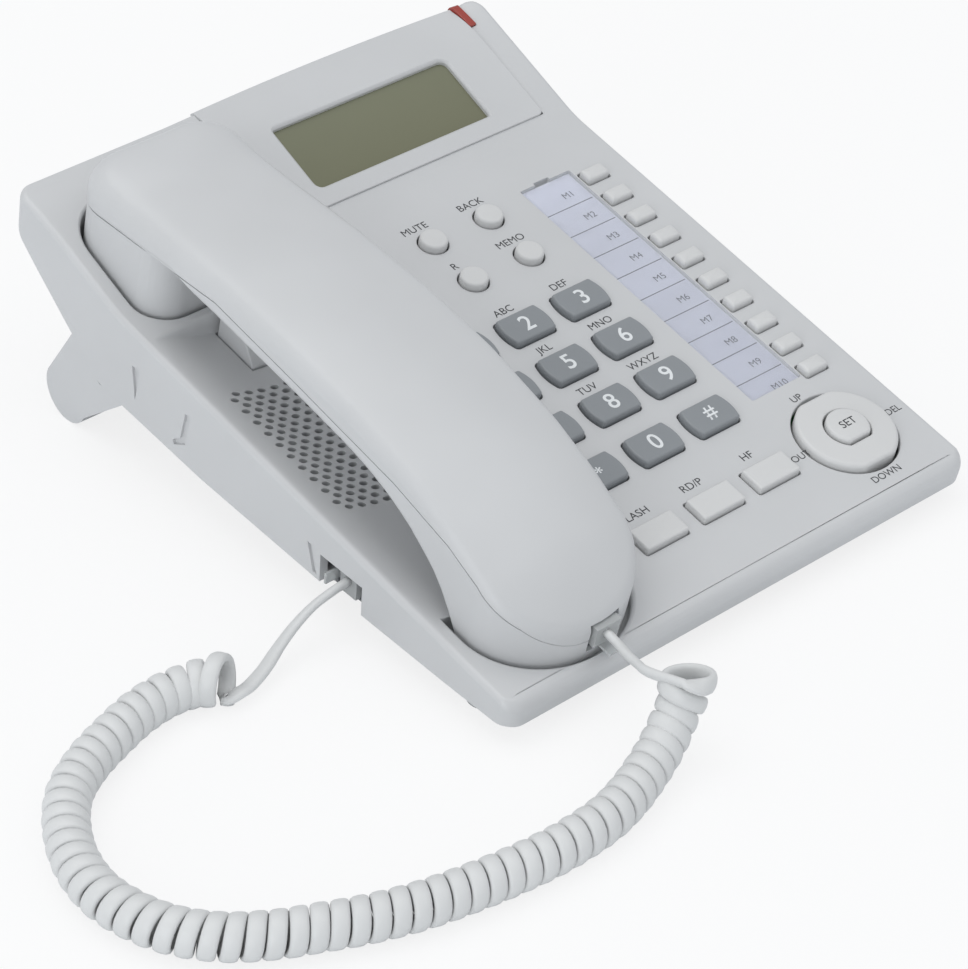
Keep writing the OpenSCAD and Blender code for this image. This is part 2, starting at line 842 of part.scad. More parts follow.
module handset_block(t) {
    intersection() {
        across(handset_x - 60, handset_x + 60)
            polygon(inset(handset_side, t));
        translate([0, 0, -30])
            linear_extrude(100)
                polygon(handset_plan(-t));
        union() {
            translate([0, 0, -30])
                linear_extrude(60)
                    polygon(ear_block_plan(-t));
            translate([handset_x - 60, mouth_y0 - 10, ear_ledge_z + t])
                cube([120, ear_y1 - mouth_y0 + 20, 40]);
            translate([handset_x - 60, mouth_y0 - 10, -30])
                cube([120, ear_y0 - 2 - mouth_y0 + 10, 60]);
        }
    }
}

module handset_walls() {
    difference() {
        handset_block(0);
        handset_block(shell_t);
        translate([socket_x - socket_w / 2, mouth_y0 - 2, socket_z])
            cube([socket_w, socket_len + 2, socket_h]);
    }
}

module handset_back() {
    color(white) on_desk()
        intersection() {
            handset_walls();
            across(handset_x - 60, handset_x + 60)
                polygon(concat(parting, [[130, 60], [-70, 60]]));
        }
}

module handset_face() {
    color(white) on_desk()
        difference() {
            handset_walls();
            across(handset_x - 60, handset_x + 60)
                polygon(concat(parting, [[130, 60], [-70, 60]]));
            for (a = [0 : 60 : 300])
                translate([handset_x + 6 * cos(a), receiver_y + 6 * sin(a), -20])
                    cylinder(h = 24, r = 1);
            translate([handset_x, receiver_y, -20])
                cylinder(h = 24, r = 1);
            translate([microphone_x, microphone_y, -20])
                cylinder(h = 24, r = 1);
        }
}

module receiver_capsule() {
    color("#4a4d50") on_desk()
        translate([handset_x, receiver_y, ear_floor + seat_gap + shell_t])
            rotate_extrude()
                polygon([
                    [0, 0], [receiver_r, 0], [receiver_r, receiver_rim], [receiver_back_r, receiver_h], [0, receiver_h]
                ]);
}

module microphone_capsule() {
    color("#4a4d50") on_desk()
        translate([microphone_x, microphone_y, mouth_floor_z(microphone_y) + seat_gap + shell_t + 0.1])
            rotate([atan2(-0.12, 1), 0, 0])
                cylinder(h = 4.5, r = 4.6);
}

module handset_socket() {
    color("#2b2d30") on_desk()
        difference() {
            translate([socket_x - socket_w / 2 + 0.1, mouth_y0 + 1, socket_z + 0.1])
                cube([socket_w - 0.2, socket_len - 1.2, socket_h - 0.2]);
            translate([socket_x - plug_w / 2 - plug_gap, mouth_y0, socket_z + 0.5])
                cube([plug_w + 2 * plug_gap, socket_len - 0.8, socket_h - 1]);
        }
}

// A tilting ring carries the direction pad: it rocks front to back on its lower pips, the pad rocks
// sideways on its upper pips
module pad_rocker() {
    color("#c9cbcd") on_desk()
        translate([pad_x, pad_y, 0]) {
            translate([0, 0, rocker_z])
                difference() {
                    cylinder(h = rocker_t, r = rocker_r + rocker_w / 2);
                    translate([0, 0, -1])
                        cylinder(h = 3, r = rocker_r - rocker_w / 2);
                }
            for (side = [-1, 1]) {
                translate([side * rocker_r - 0.5, -0.5, board_top + 0.05])
                    cube([1, 1, rocker_z - board_top]);
                translate([-0.5, side * rocker_r - 0.5, rocker_z + 0.1])
                    cube([1, 1, pad_flange_z - pad_flange_t - rocker_z - 0.15]);
            }
        }
}

module direction_pad() {
    color(white) on_desk()
        translate([pad_x, pad_y, 0])
            difference() {
                union() {
                    translate([0, 0, pad_flange_z - pad_flange_t])
                        linear_extrude(key_rise - pad_flange_z + pad_flange_t)
                            flatted(pad_r, pad_flat, true, 0);
                    translate([0, 0, pad_flange_z - pad_flange_t])
                        linear_extrude(pad_flange_t)
                            flatted(pad_r, pad_flat, true, pad_flange);
                }
                translate([0, 0, -20])
                    linear_extrude(40)
                        flatted(set_r, set_flat, false, set_gap);
                translate([0, 0, -20])
                    cylinder(h = 20 + set_flange_z, r = set_r + set_flange + set_gap);
            }
}

module set_key() {
    color(white) on_desk()
        translate([pad_x, pad_y, 0]) {
            translate([0, 0, set_flange_z - flange_t])
                linear_extrude(key_rise + set_rise - set_flange_z + flange_t)
                    flatted(set_r, set_flat, false, 0);
            translate([0, 0, set_flange_z - flange_t])
                cylinder(h = flange_t, r = set_r + set_flange);
        }
}

// Plug body with its latch on the +z side, mouth end at x = 0, wires leaving towards -x
module modular_plug(latch_space) {
    translate([0, -plug_w / 2, 0])
        cube([plug_len, plug_w, plug_h]);
    translate([plug_len - 2.4, -1.6, plug_h - 0.1])
        cube([2.4, 3.2, latch_space + latch_t + 0.1]);
    translate([-3.5, -1.6, plug_h + latch_space])
        cube([plug_len + 2, 3.2, latch_t]);
}

module base_plug() {
    color("#dfe6ea", 0.6) on_desk()
        jack_frame()
            translate([-1.4, -plug_h / 2 - 1.1, 0.7 + plug_gap + plug_w / 2])
                rotate([-90, 0, 0])
                    modular_plug(latch_gap - 0.2);
}

module handset_plug() {
    color("#dfe6ea", 0.6) on_desk()
        translate([socket_x, mouth_y0 - 1, socket_z + socket_h - 0.6])
            rotate([180, 0, 0]) rotate([0, 0, -90])
                modular_plug(0.2);
}

// A round tube through the given points, its ends square to the route
module tube(points, r, sides) {
    last = len(points) - 1;
    rings = [
        for (i = [0 : last])
            let (
                ahead = points[min(i + 1, last)] - points[max(i - 1, 0)],
                t = ahead / norm(ahead),
                side = cross(t, [0, 0, 1]) / norm(cross(t, [0, 0, 1])),
                up = cross(side, t)
            )
            for (k = [0 : sides - 1])
                points[i] + r * (cos(360 * k / sides) * side + sin(360 * k / sides) * up)
    ];
    polyhedron(rings, concat(
        [[for (k = [sides - 1 : -1 : 0]) k]],
        [for (i = [0 : last - 1], k = [0 : sides - 1])
            let (n = (k + 1) % sides)
            [i * sides + k, i * sides + n, (i + 1) * sides + n, (i + 1) * sides + k]],
        [[for (k = [0 : sides - 1]) last * sides + k]]
    ));
}

module base_tail() {
    color(white)
        tube(base_route, cord_d / 2, 8);
}

module cord_coil() {
    color(white)
        tube(coil_route, coil_od / 2, 12);
}

module handset_tail() {
    color(white)
        tube(handset_route, cord_d / 2, 8);
}

upper_case();
lower_cover();
desk_stand();
rubber_feet();
battery_door();
batteries();
case_screws();
display_panel();
display_window();
display_module();
ring_lamp();
index_card();
index_cover();
key_mat();
main_board();
loudspeaker();
hook_lever();
modular_jacks();
handset_back();
handset_face();
receiver_capsule();
microphone_capsule();
handset_socket();
dial_key(0, 0);  // key_1
dial_key(1, 0);  // key_2
dial_key(2, 0);  // key_3
dial_key(0, 1);  // key_4
dial_key(1, 1);  // key_5
dial_key(2, 1);  // key_6
dial_key(0, 2);  // key_7
dial_key(1, 2);  // key_8
dial_key(2, 2);  // key_9
dial_key(0, 3);  // key_star
dial_key(1, 3);  // key_0
dial_key(2, 3);  // key_hash
round_key(0, 1);  // key_mute
round_key(1, 1);  // key_back
round_key(0, 0);  // key_r
round_key(1, 0);  // key_memo
bar_key(0);  // key_flash
bar_key(1);  // key_redial
bar_key(2);  // key_handsfree
memory_key(1);  // memory_1
memory_key(2);  // memory_2
memory_key(3);  // memory_3
memory_key(4);  // memory_4
memory_key(5);  // memory_5
memory_key(6);  // memory_6
memory_key(7);  // memory_7
memory_key(8);  // memory_8
memory_key(9);  // memory_9
memory_key(10);  // memory_10
pad_rocker();
direction_pad();
set_key();
base_plug();
handset_plug();
base_tail();
cord_coil();
handset_tail();
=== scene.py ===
import json
import math
from contextlib import contextmanager

import bmesh
import bpy
import numpy as np
from mathutils import Matrix, Vector

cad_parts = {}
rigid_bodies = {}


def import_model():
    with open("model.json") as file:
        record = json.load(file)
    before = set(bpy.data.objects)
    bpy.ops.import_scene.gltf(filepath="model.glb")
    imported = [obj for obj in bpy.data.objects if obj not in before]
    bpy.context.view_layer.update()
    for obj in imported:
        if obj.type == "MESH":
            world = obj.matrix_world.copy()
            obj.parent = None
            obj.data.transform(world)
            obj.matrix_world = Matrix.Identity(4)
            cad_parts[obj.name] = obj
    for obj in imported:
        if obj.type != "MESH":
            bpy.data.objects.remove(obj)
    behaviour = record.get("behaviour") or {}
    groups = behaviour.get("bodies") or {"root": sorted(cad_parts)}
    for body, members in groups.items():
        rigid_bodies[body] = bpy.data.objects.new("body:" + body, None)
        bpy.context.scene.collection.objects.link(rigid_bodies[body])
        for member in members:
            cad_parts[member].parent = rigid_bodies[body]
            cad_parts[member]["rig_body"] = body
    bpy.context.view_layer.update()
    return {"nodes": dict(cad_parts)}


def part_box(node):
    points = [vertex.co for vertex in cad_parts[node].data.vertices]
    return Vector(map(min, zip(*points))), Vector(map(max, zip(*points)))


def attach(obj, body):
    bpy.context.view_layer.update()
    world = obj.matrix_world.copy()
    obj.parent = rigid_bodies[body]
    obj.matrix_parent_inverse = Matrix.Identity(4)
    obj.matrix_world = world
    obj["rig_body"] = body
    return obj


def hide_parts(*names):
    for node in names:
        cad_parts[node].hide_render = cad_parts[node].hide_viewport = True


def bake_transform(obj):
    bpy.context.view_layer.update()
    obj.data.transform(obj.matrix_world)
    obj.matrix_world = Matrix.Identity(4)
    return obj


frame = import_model()

# Studio: a desk top in pale paper, a large soft lamp overhead, and three weaker ones from the left, low on the
# left and the front. The paper reads white to the camera and keeps the telephone's soft shadow.
scene = bpy.context.scene
scene.view_settings.view_transform = "Standard"


def added(name, data):
    """A new object in the scene, made of the given mesh, text, light or camera."""
    made = bpy.data.objects.new(name, data)
    scene.collection.objects.link(made)
    return made


def add_node(tree, kind, values=None, **settings):
    """A node in a tree, with its settings and the values of its open inputs."""
    made = tree.nodes.new(kind)
    for name, value in settings.items():
        setattr(made, name, value)
    for socket, value in (values or {}).items():
        made.inputs[socket].default_value = value
    return made


def wire(tree, *links):
    """Links in a tree, each from a node and its output to a node and its input."""
    for source, output, target, entry in links:
        tree.links.new(source.outputs[output], target.inputs[entry])


def surface(name, values):
    """A material, its tree and its shader, with the given values on the shader."""
    material = bpy.data.materials.new(name)
    material.use_nodes = True
    shader = material.node_tree.nodes["Principled BSDF"]
    for socket, value in values.items():
        shader.inputs[socket].default_value = value
    return material, material.node_tree, shader


lens = bpy.data.cameras.new("studio_camera")
lens.sensor_width = 36
lens.lens = 128.65
lens.shift_x = -0.00192
lens.shift_y = 0.00013
lens.clip_end = 20
camera = added("studio_camera", lens)
camera.matrix_world = Matrix((
    (0.748741, 0.379297, -0.543618, -0.486764),
    (-0.662500, 0.455320, -0.594792, -0.532841),
    (0.021918, 0.805492, 0.592201, 0.516252),
    (0, 0, 0, 1),
))
scene.camera = camera

world = bpy.data.worlds.new("studio_air")
scene.world = world
world.use_nodes = True
tree = world.node_tree
air = tree.nodes["Background"]
air.inputs["Color"].default_value = (0.93, 0.96, 1.0, 1)
air_on_object, air_seen = 0.62, 1.0
ray = add_node(tree, "ShaderNodeLightPath")
glow = add_node(tree, "ShaderNodeMix", {"A": air_on_object, "B": air_seen})
wire(tree, (ray, "Is Camera Ray", glow, "Factor"), (glow, "Result", air, "Strength"))

lamps_aim = Vector((0, 0, 0.03))
for name, place, size, power, tint in [
    ("lamp_overhead", (-0.25, 0.35, 1.5), 1.3, 7.0, (1.0, 0.99, 0.97)),
    ("lamp_left", (-1.4, -0.5, 0.6), 1.0, 4.4, (0.95, 0.98, 1.0)),
    ("lamp_low", (-1.3, -0.8, 0.24), 0.5, 1.5, (0.98, 0.99, 1.0)),
    ("lamp_front", (0.7, -0.6, 1.5), 1.2, 3.2, (0.98, 0.99, 1.0)),
]:
    light = bpy.data.lights.new(name, "AREA")
    light.size = size
    light.energy = power
    light.color = tint
    lamp = added(name, light)
    lamp.location = place
    lamp.rotation_euler = (lamps_aim - Vector(place)).to_track_quat("-Z", "Y").to_euler()

paper, tree, matt = surface("white_paper", {
    "Base Color": (0.86, 0.87, 0.88, 1), "Roughness": 0.9, "Specular IOR Level": 0.1,
})
paper_glow, desk_half = 0.8, 6
white = add_node(tree, "ShaderNodeEmission")
ray = add_node(tree, "ShaderNodeLightPath")
glow = add_node(tree, "ShaderNodeMath", {1: paper_glow}, operation="MULTIPLY")
blend = add_node(tree, "ShaderNodeMixShader")
wire(
    tree, (ray, "Is Camera Ray", glow, 0), (glow, 0, blend, "Fac"), (matt, 0, blend, 1), (white, 0, blend, 2),
    (blend, 0, tree.nodes["Material Output"], "Surface"),
)
mesh = bpy.data.meshes.new("desk_top")
corners = [(x * desk_half, y * desk_half, 0) for x, y in ((-1, -1), (1, -1), (1, 1), (-1, 1))]
mesh.from_pydata(corners, [], [(0, 1, 2, 3)])
mesh.materials.append(paper)
desk_top = added("desk_top", mesh)

# Handset cord: a flat four-wire lead in white PVC, 4.2 by 2.2 mm, wound wide side down on a mandrel and
# baked, so that it keeps its curl. Short uncurled tails lead to the clear plugs at both ends.
grain = bpy.data.node_groups.new("moulded_grain", "ShaderNodeTree")
for label, kind, side in [
    ("Colour", "NodeSocketColor", "INPUT"), ("Grain size", "NodeSocketFloat", "INPUT"),
    ("Roughness", "NodeSocketFloat", "INPUT"), ("Unevenness", "NodeSocketFloat", "INPUT"),
    ("Colour", "NodeSocketColor", "OUTPUT"), ("Roughness", "NodeSocketFloat", "OUTPUT"),
    ("Height", "NodeSocketFloat", "OUTPUT"),
]:
    grain.interface.new_socket(label, in_out=side, socket_type=kind)
g_in = add_node(grain, "NodeGroupInput")
g_out = add_node(grain, "NodeGroupOutput")
spot_at = add_node(grain, "ShaderNodeTexCoord")
speck = add_node(grain, "ShaderNodeTexNoise", {"Detail": 3})
drift = add_node(grain, "ShaderNodeTexNoise", {"Scale": 28, "Detail": 2})
tone = add_node(grain, "ShaderNodeMapRange", {
    "From Min": 0.3, "From Max": 0.7, "To Min": 0.975, "To Max": 1.02,
})
tinted = add_node(grain, "ShaderNodeVectorMath", operation="SCALE")
centred = add_node(grain, "ShaderNodeMath", {1: 0.5}, operation="SUBTRACT")
gloss = add_node(grain, "ShaderNodeMath", operation="MULTIPLY_ADD")
wire(
    grain, (spot_at, "Object", speck, "Vector"), (spot_at, "Object", drift, "Vector"),
    (g_in, "Grain size", speck, "Scale"), (drift, "Fac", tone, "Value"), (g_in, "Colour", tinted, 0),
    (tone, "Result", tinted, "Scale"), (tinted, "Vector", g_out, "Colour"), (speck, "Fac", centred, 0),
    (centred, 0, gloss, 0), (g_in, "Unevenness", gloss, 1), (g_in, "Roughness", gloss, 2),
    (gloss, 0, g_out, "Roughness"), (speck, "Fac", g_out, "Height"),
)


def moulded_plastic(name, colour, roughness, grain_size=2600, bump=0.05, unevenness=0.12, specular=0.5):
    """Plastic or rubber with the fine grain of its mould, and a gloss that wanders a little."""
    material, tree, shader = surface(name, {"Specular IOR Level": specular})
    skin = add_node(tree, "ShaderNodeGroup", {
        "Colour": (*colour, 1), "Grain size": grain_size, "Roughness": roughness, "Unevenness": unevenness,
    }, node_tree=grain)
    relief = add_node(tree, "ShaderNodeBump", {"Strength": bump, "Distance": 0.0001})
    wire(
        tree, (skin, "Colour", shader, "Base Color"), (skin, "Roughness", shader, "Roughness"),
        (skin, "Height", relief, "Height"), (relief, "Normal", shader, "Normal"),
    )
    return material


@contextmanager
def reworked(mesh):
    """The mesh as a bmesh, written back at the end."""
    bm = bmesh.new()
    bm.from_mesh(mesh)
    yield bm
    bm.to_mesh(mesh)
    bm.free()


def smooth_route(points, step, per_span=24):
    """Points about step apart on a smooth curve through the given ones."""
    p = np.array(points, float)
    p = np.vstack([2 * p[0] - p[1], p, 2 * p[-1] - p[-2]])
    fine = []
    for a, b, c, d in zip(p, p[1:], p[2:], p[3:]):
        for t in np.linspace(0, 1, per_span, endpoint=False):
            fine.append(0.5 * (
                2 * b + (c - a) * t + (2 * a - 5 * b + 4 * c - d) * t ** 2 + (3 * b - a - 3 * c + d) * t ** 3
            ))
    fine.append(p[-2])
    fine = np.array(fine)
    along = np.concatenate([[0], np.cumsum(np.linalg.norm(np.diff(fine, axis=0), axis=1))])
    stops = np.linspace(0, along[-1], max(2, round(along[-1] / step) + 1))
    return np.stack([np.interp(stops, along, fine[:, k]) for k in range(3)], axis=1)


def unit(v):
    return v / np.linalg.norm(v, axis=1)[:, None]


cord_w, cord_t = 4.2, 2.2
coil_od, coil_turns, coil_start = 11.0, 57.65, 215
rings_per_turn, coil_step, tail_step = 20, 0.25, 1.0
base_route = [
    (-75.5, -35.3, 12.8), (-80, -35.2, 12.2), (-86, -35, 10.4), (-92, -35.5, 7.8), (-98, -37, 5.4),
    (-104, -39.5, 4.0), (-110, -41.4, 3.2), (-114, -42, 3.3),
]
coil_lies = [
    (-115.5, -40.4), (-119.6, -36), (-127, -34), (-136.5, -34.8), (-147, -38), (-156.5, -41.8),
    (-165, -47.2), (-171.5, -54.8), (-176.8, -65), (-179.2, -76), (-178.2, -86), (-174.5, -96),
    (-167.5, -105), (-158.5, -111.6), (-150, -116), (-141, -120.4), (-129, -124.8), (-114, -128.2),
    (-99, -130.3), (-88, -130.6), (-79, -129.8),
]
coil_rises = [
    (-71, -127.8, 5.8), (-64.5, -125.6, 6.4), (-59, -123.6, 7.4), (-54.2, -121.8, 9.2), (-50.6, -120.4, 11.6),
    (-47.6, -119.4, 14.4), (-45.9, -119, 17.4), (-45.2, -118.8, 20.6),
]
handset_route = [
    (-50.4, -112, 20.2), (-49.2, -107, 18.8), (-47.8, -102, 17.8), (-46.4, -97.5, 17.4), (-46, -93.6, 17.9),
]
middle = smooth_route([(x, y, 5.6) for x, y in coil_lies] + coil_rises, coil_step)
along = unit(np.gradient(middle, axis=0))
across_coil = unit(np.cross(along, (0, 0, 1.0)))
upward = np.cross(across_coil, along)
turn = np.linspace(0, 1, len(middle)) * coil_turns * 2 * math.pi + math.radians(coil_start)
reach = (coil_od - cord_t) / 2
whole = np.arange(len(middle))
picks = np.linspace(0, len(middle) - 1, round(coil_turns * rings_per_turn) + 1)


def sampled(line):
    """A line along the coil, sampled evenly in angle, so every turn gets the same number of rings."""
    return np.stack([np.interp(picks, whole, line[:, k]) for k in range(3)], axis=1)


centre, turn = sampled(middle), np.interp(picks, whole, turn)
spoke = np.cos(turn)[:, None] * sampled(across_coil) + np.sin(turn)[:, None] * sampled(upward)
# the end turns have relaxed, so they stand a little wider than the rest
swell_most, swell_turns = 1.7, 1.8
from_end = np.minimum(turn - turn[0], turn[-1] - turn) / (2 * math.pi)
swell = swell_most * np.clip(1 - from_end / swell_turns, 0, 1)
centre[:, 2] += swell
coil_path = centre + (reach + swell)[:, None] * spoke
tail_a = smooth_route(base_route + [tuple(coil_path[2])], tail_step)
tail_b = smooth_route([tuple(coil_path[-3])] + handset_route, tail_step)
cord_path = np.vstack([tail_a[:-1], coil_path[3:-3], tail_b[1:]])
# the flat side of the lead faces outwards in the coil, and turns softly into the way each tail lies
side_a = np.linspace((-0.3, 0.8, 0.5), (0.0, 0.2, 1.0), len(tail_a) - 1)
side_b = np.tile((0.78, -0.08, 0.63), (len(tail_b) - 1, 1))
flat_side = np.vstack([side_a, spoke[3:-3], side_b])
soft_over = 7
padded_side = np.pad(flat_side, ((soft_over // 2, soft_over // 2), (0, 0)), mode="edge")
kernel = np.ones(soft_over) / soft_over
soft_side = np.stack([np.convolve(padded_side[:, k], kernel, mode="valid") for k in range(3)], axis=1)
inner = slice(len(tail_a) + 6, len(tail_a) + len(coil_path) - 14)
soft_side[inner] = flat_side[inner]
heading = unit(np.gradient(cord_path, axis=0))
wide = unit(np.cross(heading, soft_side))
thin = np.cross(wide, heading)


def squared_off(v):
    """A sine or cosine, swollen so that the lead's section is a full oval."""
    return math.copysign(abs(v) ** 0.8, v)


section, lowest = 12, 0.00002
verts = []
for p, a, b in zip(cord_path, wide, thin):
    for k in range(section):
        q = 2 * math.pi * k / section
        u, v = squared_off(math.cos(q)), squared_off(math.sin(q))
        spot = (p + a * u * cord_w / 2 + b * v * cord_t / 2) * 0.001
        spot[2] = max(spot[2], lowest)
        verts.append(tuple(spot))
rings = len(cord_path)
faces = []
for start in range(0, (rings - 1) * section, section):
    for k in range(section):
        after = (k + 1) % section
        faces.append((start + k, start + after, start + section + after, start + section + k))
faces += [tuple(range(section))[::-1], tuple((rings - 1) * section + k for k in range(section))]
mesh = bpy.data.meshes.new("handset_cord")
mesh.from_pydata(verts, [], faces)
with reworked(mesh) as bm:
    bmesh.ops.recalc_face_normals(bm, faces=bm.faces)
mesh.shade_smooth()
mesh.materials.append(moulded_plastic("cord_pvc", (0.70, 0.705, 0.70), 0.42, 900, 0.03, 0.1))
handset_cord = added("handset_cord", mesh)
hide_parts("base_tail", "cord_coil", "handset_tail")
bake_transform(handset_cord)

# Upper case: one injection moulding in white ABS with a fine spark-eroded texture. The cradle cups, the gutter
# between them, the speaker grille and the key holes are moulded in; four screws from below hold it.
face_tilt, display_tilt, bend, half_bend = 12.5, 12, 88.8, 4
face_on_desk = (
    Matrix.Translation((0, -0.035042, 0.025341)) @ Matrix.Rotation(math.radians(face_tilt), 4, "X")
    @ Matrix.Scale(0.001, 4)
)
to_slope = Matrix.Rotation(math.radians(display_tilt), 4, "X")
display_in_face = Matrix.Translation((0, bend, 0)) @ to_slope
display_on_desk = face_on_desk @ Matrix.Translation((0, bend, 0)) @ to_slope
white_abs = moulded_plastic("white_abs", (0.600, 0.605, 0.610), 0.36, 2600, 0.06, 0.14)


def sin_of(degrees):
    return math.sin(math.radians(degrees))


def cos_of(degrees):
    return math.cos(math.radians(degrees))


def clamped(v):
    return min(1.0, max(0.0, v))


def stacked(name, loops, caps="pairs"):
    """A closed solid through loops of points with equal counts, from the bottom to the top."""
    n = len(loops[0])
    points = [tuple(map(float, p)) for loop in loops for p in loop]
    skin = [
        (k * n + i, k * n + (i + 1) % n, (k + 1) * n + (i + 1) % n, (k + 1) * n + i)
        for k in range(len(loops) - 1) for i in range(n)
    ]
    top = (len(loops) - 1) * n
    if caps == "pairs":
        for base, flip in ((0, True), (top, False)):
            for i in range(n // 2 - 1):
                f = (base + i, base + i + 1, base + n - 2 - i, base + n - 1 - i)
                skin.append(f[::-1] if flip else f)
    else:
        skin += [tuple(range(n))[::-1], tuple(range(top, top + n))]
    mesh = bpy.data.meshes.new(name)
    mesh.from_pydata(points, [], skin)
    with reworked(mesh) as bm:
        bmesh.ops.remove_doubles(bm, verts=bm.verts, dist=1e-4)
        bmesh.ops.dissolve_degenerate(bm, edges=bm.edges, dist=1e-5)
        bmesh.ops.triangulate(bm, faces=[f for f in bm.faces if len(f.verts) > 3])
        bmesh.ops.recalc_face_normals(bm, faces=bm.faces)
    return added(name, mesh)


def merged(name, solids):
    """Solids that don't touch each other, as one object."""
    one = added(name, bpy.data.meshes.new(name))
    with reworked(one.data) as bm:
        for solid in solids:
            bm.from_mesh(solid.data)
            bpy.data.objects.remove(solid)
    return one


def evaluated_mesh(piece):
    """A plain mesh of a piece as it looks with its modifiers, or of a piece of text."""
    bpy.context.view_layer.update()
    return bpy.data.meshes.new_from_object(piece.evaluated_get(bpy.context.evaluated_depsgraph_get()))


def settle(solid):
    """Makes a solid's modifiers permanent."""
    finished = evaluated_mesh(solid)
    solid.modifiers.clear()
    solid.data = finished


def carve(solid, cutter, operation="DIFFERENCE"):
    """Cuts a solid with another one, or joins them, and uses the other one up."""
    step = solid.modifiers.new("carve", "BOOLEAN")
    step.object = cutter
    step.operation = operation
    step.solver = "MANIFOLD"
    settle(solid)
    bpy.data.objects.remove(cutter)


def place(solid, where, material, angle=32):
    """Sets a finished solid down in its frame, in metres, with soft shading and one material."""
    solid.data.transform(where)
    with reworked(solid.data) as bm:
        bmesh.ops.remove_doubles(bm, verts=bm.verts, dist=2e-7)
    solid.data.shade_smooth()
    solid.data.set_sharp_from_angle(angle=math.radians(angle))
    even = solid.modifiers.new("even", "WEIGHTED_NORMAL")
    even.keep_sharp = True
    even.weight = 80
    settle(solid)
    solid.data.materials.clear()
    solid.data.materials.append(material)


def mirrored_loop(right, x0=0):
    """A loop from its right half, front to back, and the same half mirrored about x0."""
    return list(right) + [(2 * x0 - x, *rest) for x, *rest in right[::-1]]


def arc(cx, cy, rx, ry, a0, a1, steps):
    """Points on an arc, from a0 to a1 in degrees."""
    angles = [a0 + (a1 - a0) * i / steps for i in range(steps + 1)]
    return [(cx + rx * cos_of(a), cy + ry * sin_of(a)) for a in angles]


def grown(loop, g):
    """Every point of a closed plan loop moved outwards by g, or by g[i] at point i."""
    p = np.array(loop, float)
    before, after = np.roll(p, 1, axis=0), np.roll(p, -1, axis=0)
    a, b = p - before, after - p
    na = np.stack([a[:, 1], -a[:, 0]], axis=1) / np.maximum(np.linalg.norm(a, axis=1), 1e-9)[:, None]
    nb = np.stack([b[:, 1], -b[:, 0]], axis=1) / np.maximum(np.linalg.norm(b, axis=1), 1e-9)[:, None]
    n = na + nb
    n /= np.maximum(1 + (na * nb).sum(axis=1), 0.2)[:, None]
    return p + n * np.reshape(g, (-1, 1) if np.ndim(g) else ())


case_half, case_front, case_back, case_corner = 77.0, -62.0, 133.23, 4.8
wall = 2.4
slope = math.tan(math.radians(display_tilt))
under_line = [
    (-60.5, -7), (-40, -10.8), (2, -17.8), (50, -23.8), (92, -26.6), (126.23, -7.2), (131.2, -2.6), (133.23, 1),
]


def top_z(y):
    """Height of the keypad face and of the display slope, with a soft bend between them."""
    s = (y - bend) / half_bend
    if s <= -1:
        return 0.0
    if s >= 1:
        return (y - bend) * slope
    return slope * half_bend / 4 * (s + 1) ** 2


def under_z(y):
    return float(np.interp(y, [p[0] for p in under_line], [p[1] for p in under_line]))


stations = [-50, -40, -20, 2, 25, 50, 70, 80, 84.8, 86.8, 88.8, 90.8, 92.8, 100, 112, 122]
right_half = (
    arc(case_half - case_corner, case_front + case_corner, case_corner, case_corner, -90, 0, 7)
    + [(case_half, y) for y in stations]
    + arc(case_half - case_corner, case_back - case_corner, case_corner, case_corner, 0, 90, 7)
)
case_plan = mirrored_loop(right_half)
# the rounding of the upper edge grows towards the front
side_edge, front_extra = 1.7, 2.3
edge_r = np.array([
    side_edge + front_extra * clamped((case_front + case_corner - y) / case_corner) for x, y in case_plan
])
outside = [[(x, y, under_z(y)) for x, y in case_plan]]
for a in (0, 15, 30, 45, 60, 75, 90):
    ring = grown(case_plan, -edge_r * (1 - cos_of(a)))
    outside.append([(x, y, top_z(y) - r * (1 - sin_of(a))) for (x, y), r in zip(ring, edge_r)])
upper_case = stacked("upper_case_shell", outside)

# the handset's plan, which the cups follow with a gap
handset_x, handset_half = -48.5, 22.5
ear_y0, ear_y1, ear_r, ear_front_r = 80.8, 119.6, 12.0, 9
mouth_y, mouth_ry = -38.6, 19.0
cup_gap, ear_gap = 1.1, 0.7


def pocket(name, plan, floor, flare, steps=5, foot=0.0, above=0.02, top=40):
    """A cutter with straight walls, a soft foot and a rim that flares into the surface above it."""
    loops = []
    if foot:
        for a in (0, 30, 60):
            low = foot * (1 - cos_of(a))
            loops.append([(x, y, floor(y) + low) for x, y in grown(plan, -foot * (1 - sin_of(a)))])
    loops.append([(x, y, floor(y) + foot) for x, y in plan])
    for i in range(steps + 1):
        a = 90 * i / steps
        loops.append([
            (x, y, top_z(y) - flare + flare * sin_of(a) + above)
            for x, y in grown(plan, flare * (1 - cos_of(a)))
        ])
    loops.append([(x, y, top) for x, y in grown(plan, flare)])
    return stacked(name, loops)


def ear_outline(gap, side_ys, corner_steps):
    """Plan of the ear block, or of its cup, the gap wider all round."""
    right, front_r, back_r = handset_x + handset_half, ear_front_r + gap, ear_r + gap
    return mirrored_loop(
        arc(right - ear_front_r, ear_y0 + ear_front_r, front_r, front_r, -90, 0, 8)
        + [(right + gap, y) for y in side_ys]
        + arc(right - ear_r, ear_y1 - ear_r, back_r, back_r, 0, 90, corner_steps),
        handset_x,
    )


mouth_plan = mirrored_loop(
    arc(handset_x, mouth_y, handset_half + cup_gap, mouth_ry + cup_gap, -86, 0, 20)
    + [(handset_x + handset_half + cup_gap, y) for y in (-36, -31)],
    handset_x,
)


